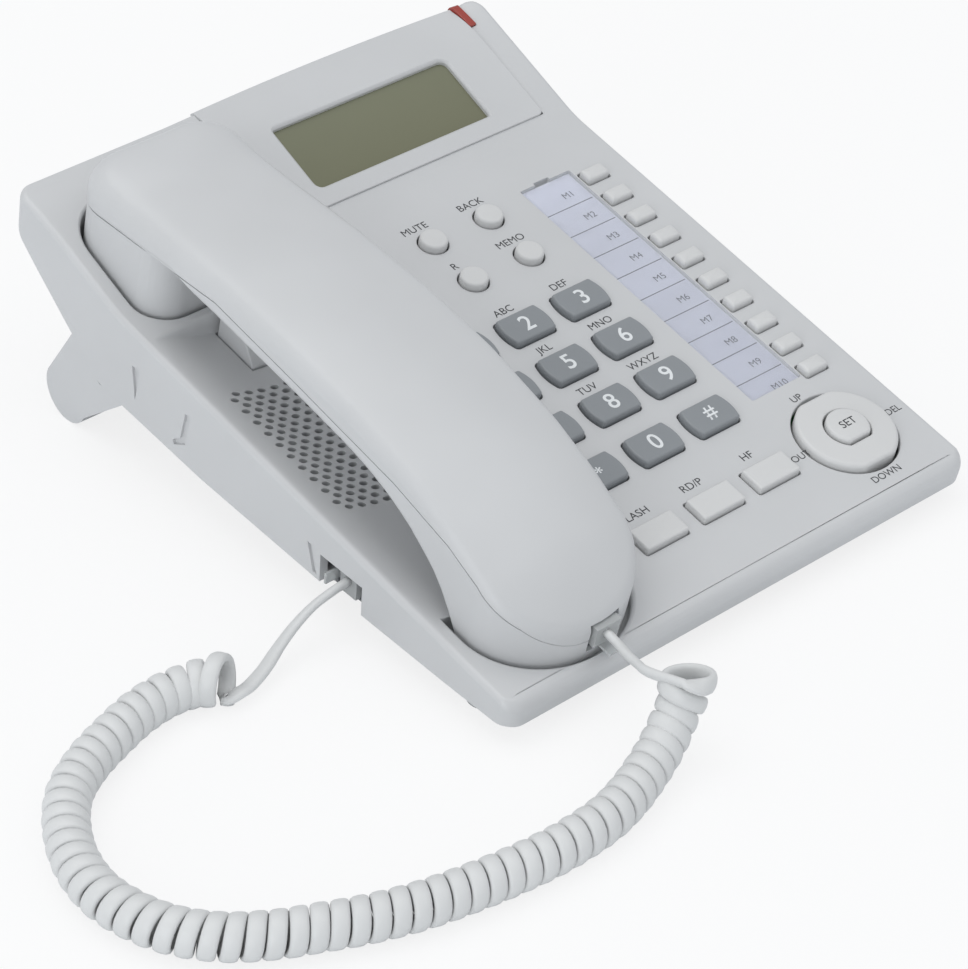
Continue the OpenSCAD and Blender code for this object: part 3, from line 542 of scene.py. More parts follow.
def gutter_cutter():
    """The dished gutter: a soft hollow across, that ends in a rounded step before the ear cup."""
    half_width, deepest, fullness = 26.2, 7, 0.72
    ends = [
        (-34, 1), (-20, 1), (0, 1), (30, 1), (60, 1), (72, 1), (75.4, 1), (76.1, 0.97), (76.5, 0.86),
        (76.75, 0.65), (76.95, 0.4), (77.2, 0.18), (77.6, 0.05), (78.2, -0.01),
    ]
    across = np.linspace(-half_width, half_width, 33)
    dish = [(0.5 + 0.5 * math.cos(math.pi * dx / half_width)) ** fullness for dx in across]
    points = [
        (handset_x + dx, y, -deepest * share * deep + 0.015)
        for y, share in ends for dx, deep in zip(across, dish)
    ]
    n, m = len(across), len(ends)
    top = m * n
    points += [(x, y, 40) for x, y, z in points]
    skin = []
    for a in (j * n + i for j in range(m - 1) for i in range(n - 1)):
        skin.append((a, a + n, a + n + 1, a + 1))
        skin.append((top + a, top + a + 1, top + a + n + 1, top + a + n))
    for j in range(m - 1):
        left, right = j * n, j * n + n - 1
        skin.append((left, top + left, top + left + n, left + n))
        skin.append((right, top + right, top + right + n, right + n)[::-1])
    for i in range(n - 1):
        near, far = i, (m - 1) * n + i
        skin.append((near, near + 1, top + near + 1, top + near))
        skin.append((far, far + 1, top + far + 1, top + far)[::-1])
    mesh = bpy.data.meshes.new("gutter")
    mesh.from_pydata(points, [], skin)
    with reworked(mesh) as bm:
        bmesh.ops.recalc_face_normals(bm, faces=bm.faces)
    return added("gutter", mesh)


def level(z):
    """A flat floor for a pocket."""
    return lambda y: z


def mouth_floor(y):
    """The floor of the mouth cup falls towards the back, along the handset's face."""
    return -2.6 - 0.12 * (y - case_front)


def block(name, x0, x1, y0, y1, z0, z1):
    corners = ((x1, y0), (x1, y1), (x0, y1), (x0, y0))
    return stacked(name, [[(x, y, z) for x, y in corners] for z in (z0, z1)], caps="flat")


def sliced(bm, normal, cuts):
    """Cuts faces into strips, so that they can follow a curve."""
    for cut in cuts:
        bmesh.ops.bisect_plane(
            bm, geom=bm.verts[:] + bm.edges[:] + bm.faces[:], plane_co=Vector(normal) * cut, plane_no=normal,
            dist=1e-4,
        )


def bow(x):
    """Share of the bow that the back edge has at x: full beside the window, none at the ends."""
    return 1 - ((x - 23) / 62) ** 2


case_bow, bow_from, bow_over = 1.7, 100, 33
with reworked(upper_case.data) as bm:
    sliced(bm, (1, 0, 0), (-30, -10, 5, 23, 40, 55, 66))
    for v in bm.verts:
        v.co.y += case_bow * (max(0.0, bow(v.co.x)) * max(0.0, (v.co.y - bow_from) / bow_over))
    bmesh.ops.triangulate(bm, faces=[f for f in bm.faces if len(f.verts) > 3])

# the hollow of the case stops short of the cups and the gutter, which so keep their own walls
inside = grown(case_plan, -wall)
cavity = stacked("cavity", [[(x, y, -60) for x, y in inside], [(x, y, top_z(y) - wall) for x, y in inside]])
for keep in (
    block("ear_wall", -80, handset_x + 26, 75.5, 123.1, -6.8, 60),
    block("mouth_wall", -80, handset_x + 26, -70, -30.5, -9, 60),
    block("gutter_wall", -80, handset_x + 28, -34, 80, -9.4, 60),
):
    carve(cavity, keep)
carve(upper_case, cavity)
ear_hole = ear_outline(ear_gap, (92.8, 97, 102), 10)
carve(upper_case, pocket("ear_cup", ear_hole, level(-4.4), flare=0.9, foot=1.2))
carve(upper_case, pocket("mouth_cup", mouth_plan, mouth_floor, flare=1.3, foot=1.2))
carve(upper_case, gutter_cutter())

dial_dx, dial_dy = 19.0, 16.2
dial_at = [(-10 + dial_dx * c, 2 * dial_dy - dial_dy * r) for r in range(4) for c in range(3)]
dial_names = ["key_" + word for word in "1 2 3 4 5 6 7 8 9 star 0 hash".split()]
round_at = {"key_r": (9, 52.6), "key_memo": (28, 52.6), "key_mute": (9, 68.8), "key_back": (28, 68.8)}
bar_at = {"key_flash": (-10, -38.6), "key_redial": (9, -38.6), "key_handsfree": (28, -38.6)}
memory_at = {f"memory_{i + 1}": (64.1, 67.4 - 9.35 * i) for i in range(10)}
round_r, bar_w, bar_d, memory_w, memory_d = 3.9, 14, 7.6, 7.6, 4.6
pad_x, pad_y, pad_r, pad_flat = 55, -38.4, 13.4, 0.93


def barrel_plan(cx, cy, w=12.7, d=9.6, bulge=1.0, corner=1.0):
    """A key outline with flat front and back and bulging sides, its corners rounded."""
    r = ((d / 2) ** 2 + bulge ** 2) / (2 * bulge)
    reach = d / 2 - corner
    a = math.degrees(math.asin(reach / r))
    side = arc(cx + w / 2 - r + bulge, cy, r, r, -a, a, 8)
    tip = side[0][0] - corner
    near = arc(tip, cy - reach, corner, corner, -90, -18, 3)
    far = arc(tip, cy + reach, corner, corner, 18, 90, 3)
    return mirrored_loop(near + side + far, cx)


def box_plan(cx, cy, w, d, corner=0.7):
    return mirrored_loop(
        arc(cx + w / 2 - corner, cy - d / 2 + corner, corner, corner, -90, 0, 4)
        + arc(cx + w / 2 - corner, cy + d / 2 - corner, corner, corner, 0, 90, 4), cx
    )


def disc_plan(cx, cy, r, flat_front=None, flat_back=None, steps=24):
    ring = []
    for x, y in arc(cx, cy, r, r, -90 + 90 / steps, 90 - 90 / steps, steps - 1):
        if flat_front is not None:
            y = max(y, cy - flat_front)
        if flat_back is not None:
            y = min(y, cy + flat_back)
        ring.append((x, y))
    return mirrored_loop(ring, cx)


key_gap, round_gap, pad_gap = 0.3, 0.35, 0.6
hole_plans = [grown(barrel_plan(x, y), key_gap) for x, y in dial_at]
hole_plans += [disc_plan(x, y, round_r + round_gap) for x, y in round_at.values()]
hole_plans += [box_plan(x, y, bar_w + 2 * key_gap, bar_d + 2 * key_gap) for x, y in bar_at.values()]
hole_plans += [box_plan(x, y, memory_w + 2 * key_gap, memory_d + 2 * key_gap) for x, y in memory_at.values()]
holes = [pocket("hole", plan, level(-3.4), flare=0.25, steps=2) for plan in hole_plans]
pad_hole = disc_plan(pad_x, pad_y, pad_r + pad_gap, steps=40)
holes.append(pocket("hole", pad_hole, level(-3.4), flare=0.4, steps=3))
carve(upper_case, merged("key_holes", holes))

# Speaker grille: wide oval holes in staggered rows over the loudspeaker. They are moulded through the floor of
# the gutter by pins in the mould.
perforate = bpy.data.node_groups.new("grille_perforation", "GeometryNodeTree")
for label, kind, side in [
    ("Geometry", "NodeSocketGeometry", "INPUT"), ("Hole radius", "NodeSocketFloat", "INPUT"),
    ("Depth", "NodeSocketFloat", "INPUT"), ("Geometry", "NodeSocketGeometry", "OUTPUT"),
]:
    perforate.interface.new_socket(label, in_out=side, socket_type=kind)
p_in = add_node(perforate, "NodeGroupInput")
p_out = add_node(perforate, "NodeGroupOutput")
pin = add_node(perforate, "GeometryNodeMeshCylinder", {"Vertices": 14})
spots = add_node(perforate, "GeometryNodeInstanceOnPoints", {"Scale": (1.34, 0.86, 1)})
real = add_node(perforate, "GeometryNodeRealizeInstances")
coat = add_node(perforate, "GeometryNodeSetMaterial", {"Material": white_abs})
wire(
    perforate, (p_in, "Geometry", spots, "Points"), (p_in, "Hole radius", pin, "Radius"),
    (p_in, "Depth", pin, "Depth"), (pin, "Mesh", spots, "Instance"), (spots, "Instances", real, "Geometry"),
    (real, "Geometry", coat, "Geometry"), (coat, "Geometry", p_out, "Geometry"),
)
grille_rows, grille_dx, grille_dy = 21, 4.2, 2.2
grille_points = [
    (-66.7 - grille_dx / 2 * (row % 2) + grille_dx * i, 53.4 - grille_dy * row, -7)
    for row in range(grille_rows) for i in range(10 + row % 2)
]
mesh = bpy.data.meshes.new("grille_pins")
mesh.from_pydata(grille_points, [], [])
pins = added("grille_pins", mesh)
step = pins.modifiers.new("perforation", "NODES")
step.node_group = perforate
pin_sizes = {"Hole radius": 0.95, "Depth": 16.0}
for item in perforate.interface.items_tree:
    if item.in_out == "INPUT" and item.name in pin_sizes:
        step[item.identifier] = pin_sizes[item.name]
settle(pins)
carve(upper_case, pins)

# recesses for the index strip with its finger notch, the hook lever, the display panel, the message lamp and
# the handset jack
card_x, card_y, card_w, card_l = 50.8, 27.4, 17.4, 90
strip_plan = box_plan(card_x, card_y, card_w, card_l, corner=0.4)
notch_plan = box_plan(50.0, 72.75, 5.2, 0.9, corner=0.3)
carve(upper_case, pocket("strip_seat", strip_plan, level(-1.3), flare=0.15, steps=2))
carve(upper_case, pocket("strip_notch", notch_plan, level(-2.3), flare=0.1, steps=2))
carve(upper_case, block("hook_slot", -55.5, -48.5, 60.5, 75.9, -30, 20))
jack_in_face = Matrix.Translation((-74, -2.8, -17.0)) @ Matrix.Rotation(math.radians(-9.46), 4, "X")
for name, where, extent in (
    ("panel_seat", display_in_face, (-20.05, 68.05, 3.95, 60, -1.2, 20)),
    ("panel_well", display_in_face, (-18.2, 66.2, 5.8, 42.5, -8, 20)),
    ("lamp_seat", display_in_face, (68.05, 70.6, 37.2, 60, -2, 20)),
    ("jack_bay", jack_in_face, (-4, 0, -8.0, 7.4, -6, 8.4)),
    ("jack_hole", jack_in_face, (-1, 14, -5.35, 5.35, -6, 9.1)),
):
    recess = block(name, *extent)
    recess.data.transform(where)
    carve(upper_case, recess)


def side_prism(name, profile, x0, x1):
    """A solid with the given outline in y and z, from x0 to x1."""
    return stacked(name, [[(x, y, z) for y, z in profile] for x in (x0, x1)], caps="flat")


# three shallow marks on the left wall, where the slides of the mould tool met
wall_marks = merged("wall_marks", [
    side_prism("wall_mark", profile, -79, -76.3) for profile in (
        [(77.9, -20.2), (80.6, -10.4), (77.5, -10.0)],
        [(57.0, -8.4), (57.6, -18.4), (61.6, -21.6), (62.3, -20.3), (59.7, -17.6), (59.1, -8.8)],
        [(9.2, -9.6), (10.9, -9.8), (7.3, -17.2), (5.9, -17.0)],
    )
])
carve(upper_case, wall_marks)
carve(upper_case, block("line_hole", 57.9, 70.1, 119.23, 141, -14.6, 3.9))
# the back edge sinks behind the handset and the panel, and the wall below it is drawn in a little
back_sinks, back_drawn_in = 2.1, 3.2
for v in upper_case.data.vertices:
    x, y, z = v.co
    tall = clamped((z + 15) / 15)
    v.co.z -= back_sinks * clamped((75 - x) / 7) * clamped((y - 112) / 20) ** 2 * tall
    v.co.y -= back_drawn_in * clamped((10 - x) / 60) * clamped((y - 120) / 12) * (1 - tall)
place(upper_case, face_on_desk, white_abs)
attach(upper_case, "base")
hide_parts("upper_case")

# Handset: two white ABS half shells, the back one outside and the face one inside, that meet at a parting line
# and are held by hidden clips. It lies face down, its ear end sunk into the rear cup.
crown, spine_back = 3.2, 97.1
crest_line = [
    (-57.6, 9.2), (-57, 9.5), (-48, 14), (-42, 17), (-27, 23), (-12, 27), (11, 30), (35, 30.2), (61, 28.6),
    (84, 25.6), (100, 24), (113, 24.4), (119.6, 24),
]
hollow_line = [
    (-57.6, -2.93), (-38, -5.28), (-34.5, -3), (-32, 0.6), (-26, 6.2), (-20, 10), (-13, 13.6), (-6, 16),
    (2, 17.8), (11, 18.6), (28, 19), (45, 18.9), (58, 18.9), (68, 19.5), (77.2, 20.4), (85, 19), (93, 17.6),
    (109, 14.9), (119.6, 13.4),
]
handset_parting = [
    (-70, 4), (-57, 4.6), (-50, 10.5), (-38, 16.5), (-27, 20), (-7, 22.6), (30, 23.6), (61, 24), (77, 21),
    (93, 18), (109, 15.2), (130, 12),
]


def soft_line(line, y, width=4.0):
    """Height of a bent line at y, its corners blended over the given width."""
    ys, zs = zip(*line)
    weights = {-2: 1, -1: 2, 0: 3, 1: 2, 2: 1}
    return sum(float(np.interp(y + width * k / 4, ys, zs)) * w for k, w in weights.items()) / 9


def crest_r(y):
    """Rounding of the outer edge: tight at the mouth, generous at the ear."""
    return float(np.interp(y, [-60, -45, 15, 70, 95, 120], [2.2, 3.0, 3.4, 5.0, 6.0, 6.4]))


def hollow_r(y):
    return float(np.interp(y, [-60, -34, -26, 60, 72, 120], [1.0, 1.0, 3.0, 3.0, 1.4, 1.4]))


right_side = (
    arc(handset_x, mouth_y, handset_half, mouth_ry, -88, 0, 26)
    + [(handset_x + handset_half, y) for y in np.linspace(-35, 103.6, 40)]
    + arc(handset_x + handset_half - ear_r, ear_y1 - ear_r, ear_r, ear_r, 0, 90, 9)
    + [(handset_x + 5, ear_y1)]
)
rim = mirrored_loop(right_side, handset_x)
spine = [(handset_x, min(max(y, mouth_y), spine_back)) for x, y in rim]
depth_in = [math.hypot(x - sx, y - sy) for (x, y), (sx, sy) in zip(rim, spine)]


def handset_ring(inset_of, height_of):
    """One loop of the handset, each point moved in from the rim towards the spine."""
    ring = []
    for (x, y), (sx, sy), reach_in in zip(rim, spine, depth_in):
        d = min(inset_of(y, reach_in), reach_in * 0.97)
        t = 1 - d / reach_in
        px, py = sx + (x - sx) * t, sy + (y - sy) * t
        ring.append((px, py, height_of(py, d, reach_in)))
    return ring


def crest_z(y, d, reach_in):
    a = d / reach_in
    r = crest_r(y)
    drop = r - math.sqrt(max(0.0, r * r - max(0.0, r - d) ** 2))
    return soft_line(crest_line, y) + crown * (1 - (1 - a) ** 2) - drop


def hollow_z(y, d, reach_in):
    r = hollow_r(y)
    lift = r - math.sqrt(max(0.0, r * r - max(0.0, r - d) ** 2))
    return soft_line(hollow_line, y, 2.0) + lift


rings = []
for share in (0.97, 0.75, 0.5, 0.3):
    rings.append(handset_ring(lambda y, w: max(share * w, hollow_r(y)), hollow_z))
for a in (90, 70, 50, 30, 15, 0):
    bend_in = 1 - sin_of(90 - a)
    rings.append(handset_ring(lambda y, w: hollow_r(y) * bend_in, hollow_z))
for a in (0, 12, 24, 36, 48, 60, 72, 90):
    bend_in = 1 - cos_of(a)
    rings.append(handset_ring(lambda y, w: crest_r(y) * bend_in, crest_z))
for share in (0.12, 0.25, 0.4, 0.55, 0.7, 0.85, 0.97):
    rings.append(handset_ring(lambda y, w: crest_r(y) + share * (w - crest_r(y)), crest_z))
handset = stacked("handset_shells", rings)

# the ear block stands down from the face into the rear cup, and the receiver's dish and sound holes are in it
ear_foot, ear_foot_r, ear_inset, ear_sides = -4.2, 1.6, -0.35, (90, 96, 102)
ear_loops = [
    [
        (x, y, ear_foot + ear_foot_r * (1 - cos_of(a)))
        for x, y in ear_outline(ear_inset - ear_foot_r * (1 - sin_of(a)), ear_sides, 9)
    ]
    for a in (0, 25, 50, 75, 90)
]
ear_loops.append([(x, y, soft_line(hollow_line, y) + 0.6) for x, y in ear_outline(ear_inset, ear_sides, 9)])
carve(handset, stacked("ear_block", ear_loops), "UNION")
receiver_y, port_circle = 98, 6
receiver_dish = stacked("receiver_dish", [
    [(x, y, z) for x, y in disc_plan(handset_x, receiver_y, r, steps=32)]
    for z, r in ((-5, 15.4), (-4.0, 15.0), (-3.4, 13.8))
])
carve(handset, receiver_dish)
port_at = [(handset_x, receiver_y, -6), (handset_x - 11, -45, -7)] + [
    (handset_x + port_circle * cos_of(a), receiver_y + port_circle * sin_of(a), -6) for a in range(0, 360, 60)
]
ports = [
    stacked("port", [[(x, y, z) for x, y in disc_plan(px, py, 1.0, steps=8)] for z in (low, low + 5)])
    for px, py, low in port_at
]
carve(handset, merged("ports", ports))
carve(handset, block("socket_notch", -50.7, -41.3, -64, -44.6, 0.6, 9))

# the two shells, with a fine gap where they meet
shell_gap = 0.16
for name, node, gap, beyond in (
    ("handset_back_shell", "handset_back", shell_gap, -40),
    ("handset_face_shell", "handset_face", -shell_gap, 60),
):
    half = added(name, handset.data.copy())
    cut = [(y, z + gap) for y, z in handset_parting] + [(130, beyond), (-70, beyond)]
    carve(half, side_prism("parting_cut", cut, handset_x - 40, handset_x + 40))
    place(half, face_on_desk, white_abs, angle=40)
    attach(half, "handset")
    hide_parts(node)
bpy.data.objects.remove(handset)

# Keys: each is a moulded cap that stands in its own hole. The dial keys are satin grey with white printed
# numerals, the others white like the case.
key_rise = 1.8
grey_abs = moulded_plastic("grey_abs", (0.262, 0.278, 0.292), 0.34, 2600, 0.05, 0.12)
white_key_abs = moulded_plastic("white_key_abs", (0.66, 0.66, 0.655), 0.34, 2600, 0.05, 0.12)


def key_cap(name, plan, top, edge, dome, foot=-3.3, draft=0.15):
    """A key cap with drafted walls, rounded edges and a slightly domed top."""
    cx = sum(p[0] for p in plan) / len(plan)
    cy = sum(p[1] for p in plan) / len(plan)
    loops = [[(x, y, foot) for x, y in plan]]
    for a in (0, 20, 40, 60, 78, 90):
        ring = grown(plan, -draft - edge * (1 - cos_of(a)))
        loops.append([(x, y, top - edge * (1 - sin_of(a))) for x, y in ring])
    inner = loops[-1]
    for share in (0.8, 0.55, 0.3, 0.12):
        loops.append([
            (cx + (x - cx) * share, cy + (y - cy) * share, top + dome * (1 - share ** 2)) for x, y, z in inner
        ])
    return stacked(name, loops)


def print_ink(name, colour):
    """Pad-printed ink: flat colour with a little sheen and a fine speckle."""
    return moulded_plastic(name, colour, 0.5, 3800, 0.02, 0.05)


white_ink = print_ink("white_ink", (0.78, 0.80, 0.81))
dark_ink = print_ink("dark_ink", (0.035, 0.036, 0.04))


def legend(words, cap_height, x, y, height, weight=0.0):
    """Printed words as a thin mesh on the surface, centred on x, y; height gives the surface there."""
    font_caps, ink_above = 0.70, 0.03
    curve = bpy.data.curves.new("legend", "FONT")
    curve.body = words
    curve.align_x = "CENTER"
    curve.align_y = "CENTER"
    curve.size = cap_height / font_caps
    curve.offset = weight * cap_height
    curve.resolution_u = 5
    holder = added("legend", curve)
    mesh = evaluated_mesh(holder)
    bpy.data.objects.remove(holder)
    xs, ys = [v.co.x for v in mesh.vertices], [v.co.y for v in mesh.vertices]
    mid_x, mid_y = (min(xs) + max(xs)) / 2, (min(ys) + max(ys)) / 2
    for v in mesh.vertices:
        px, py = v.co.x - mid_x + x, v.co.y - mid_y + y
        v.co = (px, py, height(px, py) + ink_above)
    return added("legend", mesh)


def joined(base, extra, ink):
    """Adds printed pieces to a finished solid, in their own ink."""
    base.data.materials.append(ink)
    slot_index = len(base.data.materials) - 1
    with reworked(base.data) as bm:
        start = len(bm.faces)
        for piece in extra:
            bm.from_mesh(piece.data)
            bpy.data.objects.remove(piece)
        bm.faces.ensure_lookup_table()
        for face in bm.faces[start:]:
            face.material_index = slot_index


def finish_key(cap, node, material, ink=None, prints=()):
    place(cap, face_on_desk, material, angle=50)
    for piece in prints:
        piece.data.transform(face_on_desk)
    if prints:
        joined(cap, prints, ink)
    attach(cap, node)
    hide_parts(node)


def face_height(x, y):
    return top_z(y)


dial_dome, dial_flat_w, dial_flat_d = 0.32, 6.6, 4.1
numeral_tall = {"*": 3.4, "#": 4.2}


def dome_over(cx, cy):
    """Height of the slightly domed top of the dial key at cx, cy."""
    return lambda x, y: key_rise + dial_dome * (
        1 - min(1, max(abs(x - cx) / dial_flat_w, abs(y - cy) / dial_flat_d)) ** 2
    )


for name, mark, (cx, cy) in zip(dial_names, "123456789*0#", dial_at):
    cap = key_cap(name + "_cap", barrel_plan(cx, cy), key_rise, edge=0.75, dome=dial_dome)
    digit = legend(mark, numeral_tall.get(mark, 4.9), cx, cy, dome_over(cx, cy), weight=0.016)
    finish_key(cap, name, grey_abs, white_ink, [digit])
for name, at in round_at.items():
    cap = key_cap(name + "_cap", disc_plan(*at, round_r), key_rise + 0.2, edge=0.8, dome=0.15)
    finish_key(cap, name, white_key_abs)
for name, at in bar_at.items():
    cap = key_cap(name + "_cap", box_plan(*at, bar_w, bar_d), key_rise, edge=0.6, dome=0.15)
    finish_key(cap, name, white_key_abs)
for name, at in memory_at.items():
    plan = box_plan(*at, memory_w, memory_d, corner=0.9)
    cap = key_cap(name + "_cap", plan, key_rise, edge=1.0, dome=0.2, draft=0.1)
    finish_key(cap, name, white_key_abs)

# Direction pad and its set key: a rocking ring with flats at the front and back, and a separate round key
# with one flat in the middle of it. Both are white ABS caps, and the ring tilts on a carrier below it.
set_r, set_flat, set_gap, set_rise, set_dome = 5.9, 0.8, 0.4, 1.4, 0.3
pad_plan = disc_plan(pad_x, pad_y, pad_r, pad_r * pad_flat, pad_r * pad_flat, steps=40)
pad_ring = key_cap("pad_ring", pad_plan, key_rise + 0.1, edge=1.1, dome=0.35, draft=0.1)
well_plan = disc_plan(pad_x, pad_y, set_r + set_gap, set_r * set_flat + set_gap, steps=32)
pad_well = stacked("pad_well", [
    [(x, y, z) for x, y in grown(well_plan, g)]
    for z, g in ((-8, 0), (key_rise - 0.1, 0), (key_rise + 0.2, 0.1), (key_rise + 0.4, 0.4), (6, 0.4))
])
carve(pad_ring, pad_well)
finish_key(pad_ring, "direction_pad", white_key_abs)
set_plan = disc_plan(pad_x, pad_y, set_r, set_r * set_flat, steps=32)
set_cap = key_cap("set_cap", set_plan, key_rise + set_rise, edge=0.8, dome=set_dome)


def set_height(x, y):
    return key_rise + set_rise + set_dome * (1 - min(1, math.hypot(x - pad_x, y - pad_y) / 5.0) ** 2)


set_word = legend("SET", 2.3, pad_x, pad_y + 0.4, set_height, weight=0.006)
finish_key(set_cap, "set_key", white_key_abs, dark_ink, [set_word])

# Key legends: dark grey ink, pad-printed on the finished case above each key and around the direction pad.
# They say what a key does, or give the letters that belong to its digit.
words = {
    "key_mute": "MUTE", "key_back": "BACK", "key_r": "R", "key_memo": "MEMO", "key_flash": "FLASH",
    "key_redial": "RD/P", "key_handsfree": "HF", "key_2": "ABC", "key_3": "DEF", "key_4": "GHI", "key_5": "JKL",
    "key_6": "MNO", "key_7": "PQRS", "key_8": "TUV", "key_9": "WXYZ",
}
legend_tall, above_round, above_key = 2.25, 6.6, 7.7
printing = []
for name, (cx, cy) in [*zip(dial_names, dial_at), *round_at.items(), *bar_at.items()]:
    if name in words:
        above = above_round if name in round_at else above_key
        printing.append(legend(words[name], legend_tall, cx - 0.8, cy + above, face_height))
for word, dx, dy in (("UP", -2.4, 15.6), ("DOWN", -1.2, -15.8), ("OUT", -15.9, 0.1), ("DEL", 16.6, -0.6)):
    printing.append(legend(word, legend_tall - 0.2, pad_x + dx, pad_y + dy, face_height))
case_printing = merged("case_printing", printing)
case_printing.data.transform(face_on_desk)
case_printing.data.materials.append(dark_ink)
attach(case_printing, "base")

# Display panel: a separate white bezel that drops into the tilted end of the case and runs out over its back
# edge. Its window has bevelled sides; a clear olive-tinted plate and the liquid crystal cell sit under it.
panel_x0, panel_x1, panel_s0, panel_s1, panel_bow = -20.0, 68.0, 4.0, 45.36, 1.74


def bowed_back(x):
    return panel_s1 + panel_bow * bow(x)


def bezel_loops(x0, x1, s0, front_r, low, high, edge, back_edge):
    """Loops of a plate whose back follows the bowed back of the case; its front right corner is rounded."""
    plan = [(x0, s0 + 1.4)] + arc(x0 + 0.5, s0 + 0.5, 0.5, 0.5, 180, 270, 3)
    plan += arc(x1 - front_r, s0 + front_r, front_r, front_r, -90, 0, 6)
    plan += [(x1, s) for s in np.linspace(s0 + 2.2, bowed_back(x1) - 0.8, 8)]
    back_from = len(plan)
    plan += [(x, bowed_back(x)) for x in np.linspace(x1, x0, 26)]
    back_to = len(plan)
    plan += [(x0, s) for s in np.linspace(bowed_back(x0) - 0.8, s0 + 2.4, 8)]
    r = np.array([back_edge if back_from <= i < back_to else edge for i in range(len(plan))])
    loops = [[(x, y, low) for x, y in plan]]
    for a in (0, 20, 40, 60, 75, 90):
        ring = grown(plan, -r * (1 - cos_of(a)))
        loops.append([(x, y, high - k * (1 - sin_of(a))) for (x, y), k in zip(ring, r)])
    return loops


def window_plan(x0, x1, s0, s1):
    """Two opposite corners of the window are round, the other two nearly square."""
    wide_r, tight_r = 2.2, 0.7
    loop = []
    for cx, cy, r, a in (
        (x0, s0, wide_r, 180), (x1, s0, tight_r, 270), (x1, s1, wide_r, 0), (x0, s1, tight_r, 90),
    ):
        px, py = cx + (r if a in (180, 90) else -r), cy + (r if a in (180, 270) else -r)
        loop += arc(px, py, r, r, a, a + 90, 6)
    return loop


def drop_back(solid, depth, start=31, over=14):
    """Bends the back of a plate down, so that it follows the back edge of the case."""
    for v in solid.data.vertices:
        v.co.z -= depth * clamped((v.co.y - start) / over) ** 2


window_x, window_s, window_half_w, window_half_d = 23.9, 20.2, 29.4, 10.4
opening = window_plan(
    window_x - window_half_w, window_x + window_half_w, window_s - window_half_d, window_s + window_half_d
)
panel_loops = bezel_loops(
    panel_x0, panel_x1, panel_s0, front_r=1.6, low=-1.15, high=0.6, edge=0.3, back_edge=1.7
)
display_panel = stacked("display_bezel", panel_loops, caps="flat")
carve(display_panel, stacked("window_cut", [
    [(x, y, z) for x, y in grown(opening, g)]
    for z, g in ((-4, 0), (-0.25, 0), (0.0, 0.1), (0.3, 0.4), (0.5, 0.72), (0.62, 0.95), (3, 0.95))
], caps="flat"))
with reworked(display_panel.data) as bm:
    sliced(bm, (0, 1, 0), (29.5, 32.0, 34.5, 37.0, 39.5, 42.0, 44.0))
drop_back(display_panel, 2.7)
place(display_panel, display_on_desk, white_abs, angle=35)
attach(display_panel, "base")
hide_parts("display_panel")

# Message lamp: a red translucent light pipe that wraps over the back edge beside the panel. It is moulded in
# tinted acrylic, pressed into its seat and lit from below.
lamp_red = moulded_plastic("lamp_red", (0.44, 0.055, 0.035), 0.22, 1500, 0.03, 0.08)
lamp_shader = lamp_red.node_tree.nodes["Principled BSDF"]
lamp_shader.inputs["Transmission Weight"].default_value = 0.25
lamp_shader.inputs["Coat Weight"].default_value = 0.3
lens_loops = bezel_loops(68.12, 70.5, 37.2, front_r=0.3, low=-1.9, high=0.12, edge=0.3, back_edge=1.7)
lamp_lens = stacked("lamp_lens", lens_loops, caps="flat")
drop_back(lamp_lens, 1.2)
place(lamp_lens, display_on_desk, lamp_red, angle=40)
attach(lamp_lens, "base")
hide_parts("ring_lamp")

# Display: an olive-tinted clear plate over the liquid crystal cell, glossy, with painted light that makes it a
# little lighter towards its back.
# The cell is a glass sandwich in a grey frame that hangs under the panel.


def softened(node, edge, material, segments=2):
    """A copy of a CAD piece with its flat faces merged and its edges broken, that stands for the piece."""
    cad = frame["nodes"][node]
    mesh = cad.data.copy()
    mesh.name = node + "_moulding"
    with reworked(mesh) as bm:
        bmesh.ops.remove_doubles(bm, verts=bm.verts, dist=2e-6)
        bmesh.ops.dissolve_limit(bm, angle_limit=math.radians(0.8), verts=bm.verts, edges=bm.edges)
    mesh.shade_smooth()
    made = added(node + "_moulding", mesh)
    if edge:
        broken = made.modifiers.new("broken_edge", "BEVEL")
        broken.width = edge / 1000
        broken.segments = segments
        broken.limit_method = "ANGLE"
        broken.angle_limit = math.radians(32)
        broken.use_clamp_overlap = True
        settle(made)
    made.data.set_sharp_from_angle(angle=math.radians(40))
    even = made.modifiers.new("even", "WEIGHTED_NORMAL")
    even.keep_sharp = True
    settle(made)
    made.data.materials.clear()
    made.data.materials.append(material)
    for face in made.data.polygons:
        face.material_index = 0
    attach(made, cad["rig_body"])
    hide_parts(node)
    return made


def patterned(material, source, output):
    """Lets a pattern in a material's tree colour its plastic."""
    skin = next(n for n in material.node_tree.nodes if n.type == "GROUP")
    wire(material.node_tree, (source, output, skin, "Colour"))


window_olive = moulded_plastic("window_olive", (0.185, 0.187, 0.118), 0.16, 5200, 0.015, 0.05, 0.4)
tree = window_olive.node_tree
glass_at = add_node(tree, "ShaderNodeTexCoord")
along_y = add_node(tree, "ShaderNodeSeparateXYZ")
# painted light: the olive is mixed lighter towards the back of the plate
painted_light_ramp = add_node(tree, "ShaderNodeMapRange", {"From Min": 0.045, "From Max": 0.09})
olive_with_painted_light = add_node(
    tree, "ShaderNodeMix", {"A": (0.168, 0.166, 0.100, 1), "B": (0.205, 0.213, 0.145, 1)}, data_type="RGBA"
)
wire(tree, (glass_at, "Object", along_y, 0), (along_y, "Y", painted_light_ramp, "Value"), (painted_light_ramp, "Result", olive_with_painted_light, "Factor"))
patterned(window_olive, olive_with_painted_light, "Result")
softened("display_window", 0.25, window_olive)
cell_grey = moulded_plastic("cell_grey", (0.12, 0.125, 0.10), 0.3, 1400, 0.04, 0.2)
softened("display_module", 0.2, cell_grey)

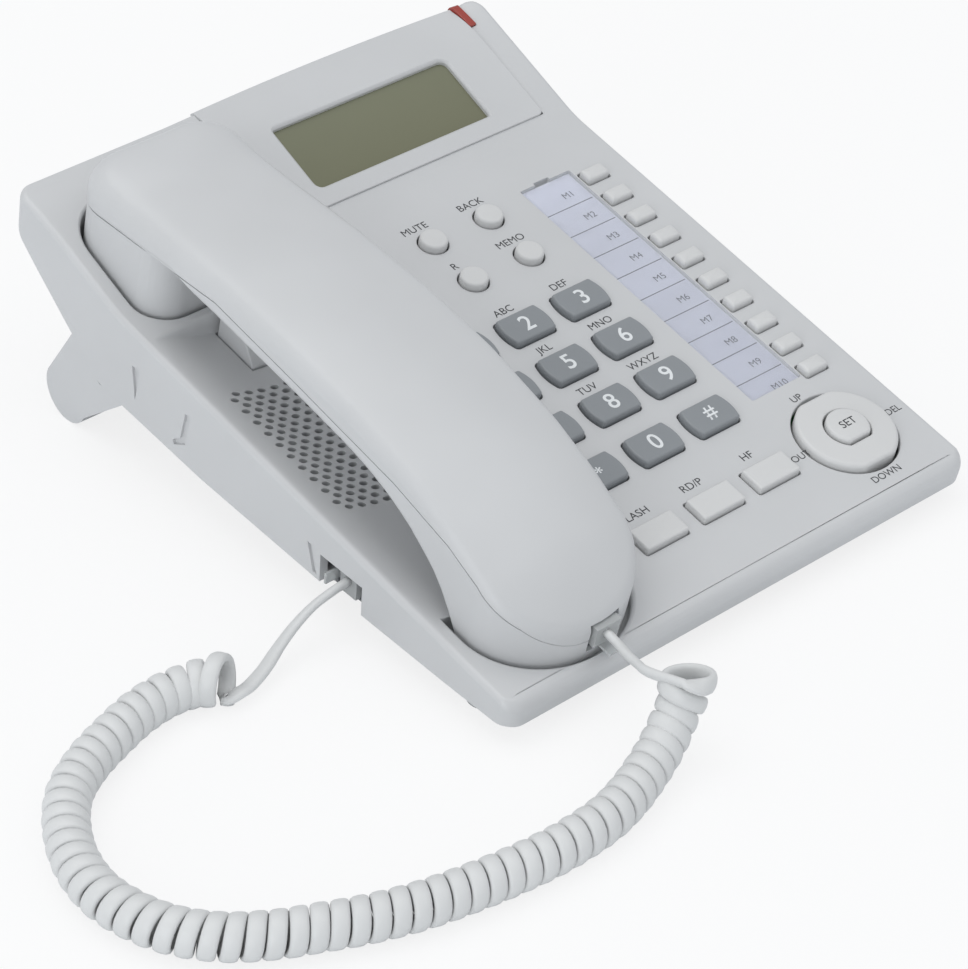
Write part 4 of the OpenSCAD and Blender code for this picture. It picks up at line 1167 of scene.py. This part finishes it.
# Index strip: a printed paper card under a clear cover of stiff plastic sheet, which snaps into a shallow
# recess beside the memory keys. The card has a ruled row for each of them.
card_stock = moulded_plastic("card_stock", (0.80, 0.815, 0.905), 0.62, 3400, 0.03, 0.1)
card_ink = print_ink("card_ink", (0.16, 0.165, 0.19))
index_card = softened("index_card", 0, card_stock)
card_top, card_rows, row_pitch, row_rule = -1.0, 10, 9.12, 0.25


def card_height(x, y):
    return card_top + 0.02


card_prints = []
for k in range(card_rows):
    row_y = 65.8 - row_pitch * k
    card_prints.append(legend(f"M{k + 1}", 2.1, 53.4, row_y, card_height, weight=-0.006))
    if k < card_rows - 1:
        left, right, near = card_x - card_w / 2 + 0.3, card_x + card_w / 2 - 0.7, row_y - 4.1
        card_prints.append(block("rule", left, right, near, near + row_rule, card_top, card_top + 0.03))
for piece in card_prints:
    piece.data.transform(face_on_desk)
joined(index_card, card_prints, card_ink)


def clear_moulding(name, values, streaks, glossiest, dullest):
    """Clear plastic whose gloss wanders between two values of roughness."""
    material, tree, shell = surface(name, values)
    at = add_node(tree, "ShaderNodeTexCoord")
    haze = add_node(tree, "ShaderNodeTexNoise", {"Scale": streaks})
    span = add_node(tree, "ShaderNodeMapRange", {"To Min": glossiest, "To Max": dullest})
    wire(tree, (at, "Object", haze, "Vector"), (haze, "Fac", span, "Value"))
    wire(tree, (span, "Result", shell, "Roughness"))
    return material


clear_cover = clear_moulding(
    "clear_cover", {"Base Color": (0.88, 0.91, 0.96, 1), "Alpha": 0.10, "IOR": 1.49},
    streaks=600, glossiest=0.10, dullest=0.24,
)
softened("index_cover", 0.3, clear_cover)

# Hook lever: a white ABS fin in the gutter, on a pivot below it. The handset pushes it down, and it rises
# through its slot when the handset is lifted.
softened("hook_lever", 0.45, white_abs, segments=3)

# Base underside: the lower cover, the two-legged stand and the battery door in the same ABS, with
# rubber feet and four zinc-plated screws
for node, edge in (("lower_cover", 0.5), ("desk_stand", 0.5), ("battery_door", 0.3)):
    softened(node, edge, white_abs)
foot_rubber = moulded_plastic("foot_rubber", (0.46, 0.465, 0.47), 0.7, 1800, 0.25, 0.2, 0.3)
softened("rubber_feet", 0.5, foot_rubber)
zinc = moulded_plastic("zinc", (0.62, 0.63, 0.64), 0.3, 4000, 0.08, 0.3)
zinc.node_tree.nodes["Principled BSDF"].inputs["Metallic"].default_value = 1.0
softened("case_screws", 0.12, zinc)

# Battery cells: three cells with a blue printed sleeve, a silver band and bare steel ends. They lie side by
# side behind the battery door.
cell_blue, cell_silver, cell_steel = (0.06, 0.16, 0.38), (0.55, 0.56, 0.58), (0.6, 0.6, 0.6)
cell_sleeve = moulded_plastic("cell_sleeve", cell_blue, 0.25, 2200, 0.02, 0.1)
cell_lo, cell_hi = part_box("batteries")
tree = cell_sleeve.node_tree
cell_at = add_node(tree, "ShaderNodeTexCoord")
cell_split = add_node(tree, "ShaderNodeSeparateXYZ")
cell_span = add_node(tree, "ShaderNodeMapRange", {
    "From Min": float(cell_lo[0]), "From Max": float(cell_hi[0]),
})
cell_ramp = add_node(tree, "ShaderNodeValToRGB")
cell_ramp.color_ramp.interpolation = "CONSTANT"
bands = cell_ramp.color_ramp.elements
bands[0].color = (*cell_steel, 1)
bands[1].position = 0.05
bands[1].color = (*cell_blue, 1)
for stop, colour in ((0.66, cell_silver), (0.95, cell_steel)):
    bands.new(stop).color = (*colour, 1)
wire(
    tree, (cell_at, "Object", cell_split, 0), (cell_split, "X", cell_span, "Value"),
    (cell_span, "Result", cell_ramp, "Fac"),
)
patterned(cell_sleeve, cell_ramp, "Color")
softened("batteries", 0.4, cell_sleeve)

# Inside: the circuit board in green laminate, the rubber key mat, the loudspeaker, and in the handset the
# receiver and microphone capsules
laminate = (0.03, 0.16, 0.06)
board_green = moulded_plastic("board_green", laminate, 0.35, 900, 0.05, 0.1)
tree = board_green.node_tree
track_at = add_node(tree, "ShaderNodeTexCoord")
tracks = add_node(tree, "ShaderNodeTexBrick", {
    "Scale": 160, "Mortar Size": 0.06, "Color1": (*laminate, 1), "Color2": (0.035, 0.19, 0.075, 1),
    "Mortar": (0.10, 0.30, 0.12, 1),
})
wire(tree, (track_at, "Object", tracks, "Vector"))
patterned(board_green, tracks, "Color")
softened("main_board", 0.1, board_green)
mat_rubber = moulded_plastic("mat_rubber", (0.16, 0.165, 0.17), 0.66, 1500, 0.2, 0.15, 0.3)
softened("key_mat", 0.1, mat_rubber)
speaker_black = moulded_plastic("speaker_black", (0.035, 0.036, 0.038), 0.5, 1200, 0.3, 0.2, 0.3)
for node in ("loudspeaker", "receiver_capsule", "microphone_capsule"):
    softened(node, 0.3, speaker_black)
softened("pad_rocker", 0.15, white_key_abs)

# Modular jacks and plugs: grey sockets in the case and the handset, and clear polycarbonate plugs with a
# springy latch, crimped on the ends of the cord
jack_grey = moulded_plastic("jack_grey", (0.15, 0.155, 0.165), 0.4, 2200, 0.06, 0.12)
softened("modular_jacks", 0.25, jack_grey)
softened("handset_socket", 0.2, jack_grey)
clear_plug = clear_moulding(
    "clear_plug", {"Base Color": (0.86, 0.88, 0.88, 1), "IOR": 1.58, "Transmission Weight": 0.55},
    streaks=420, glossiest=0.12, dullest=0.28,
)
for node in ("base_plug", "handset_plug"):
    softened(node, 0.25, clear_plug)
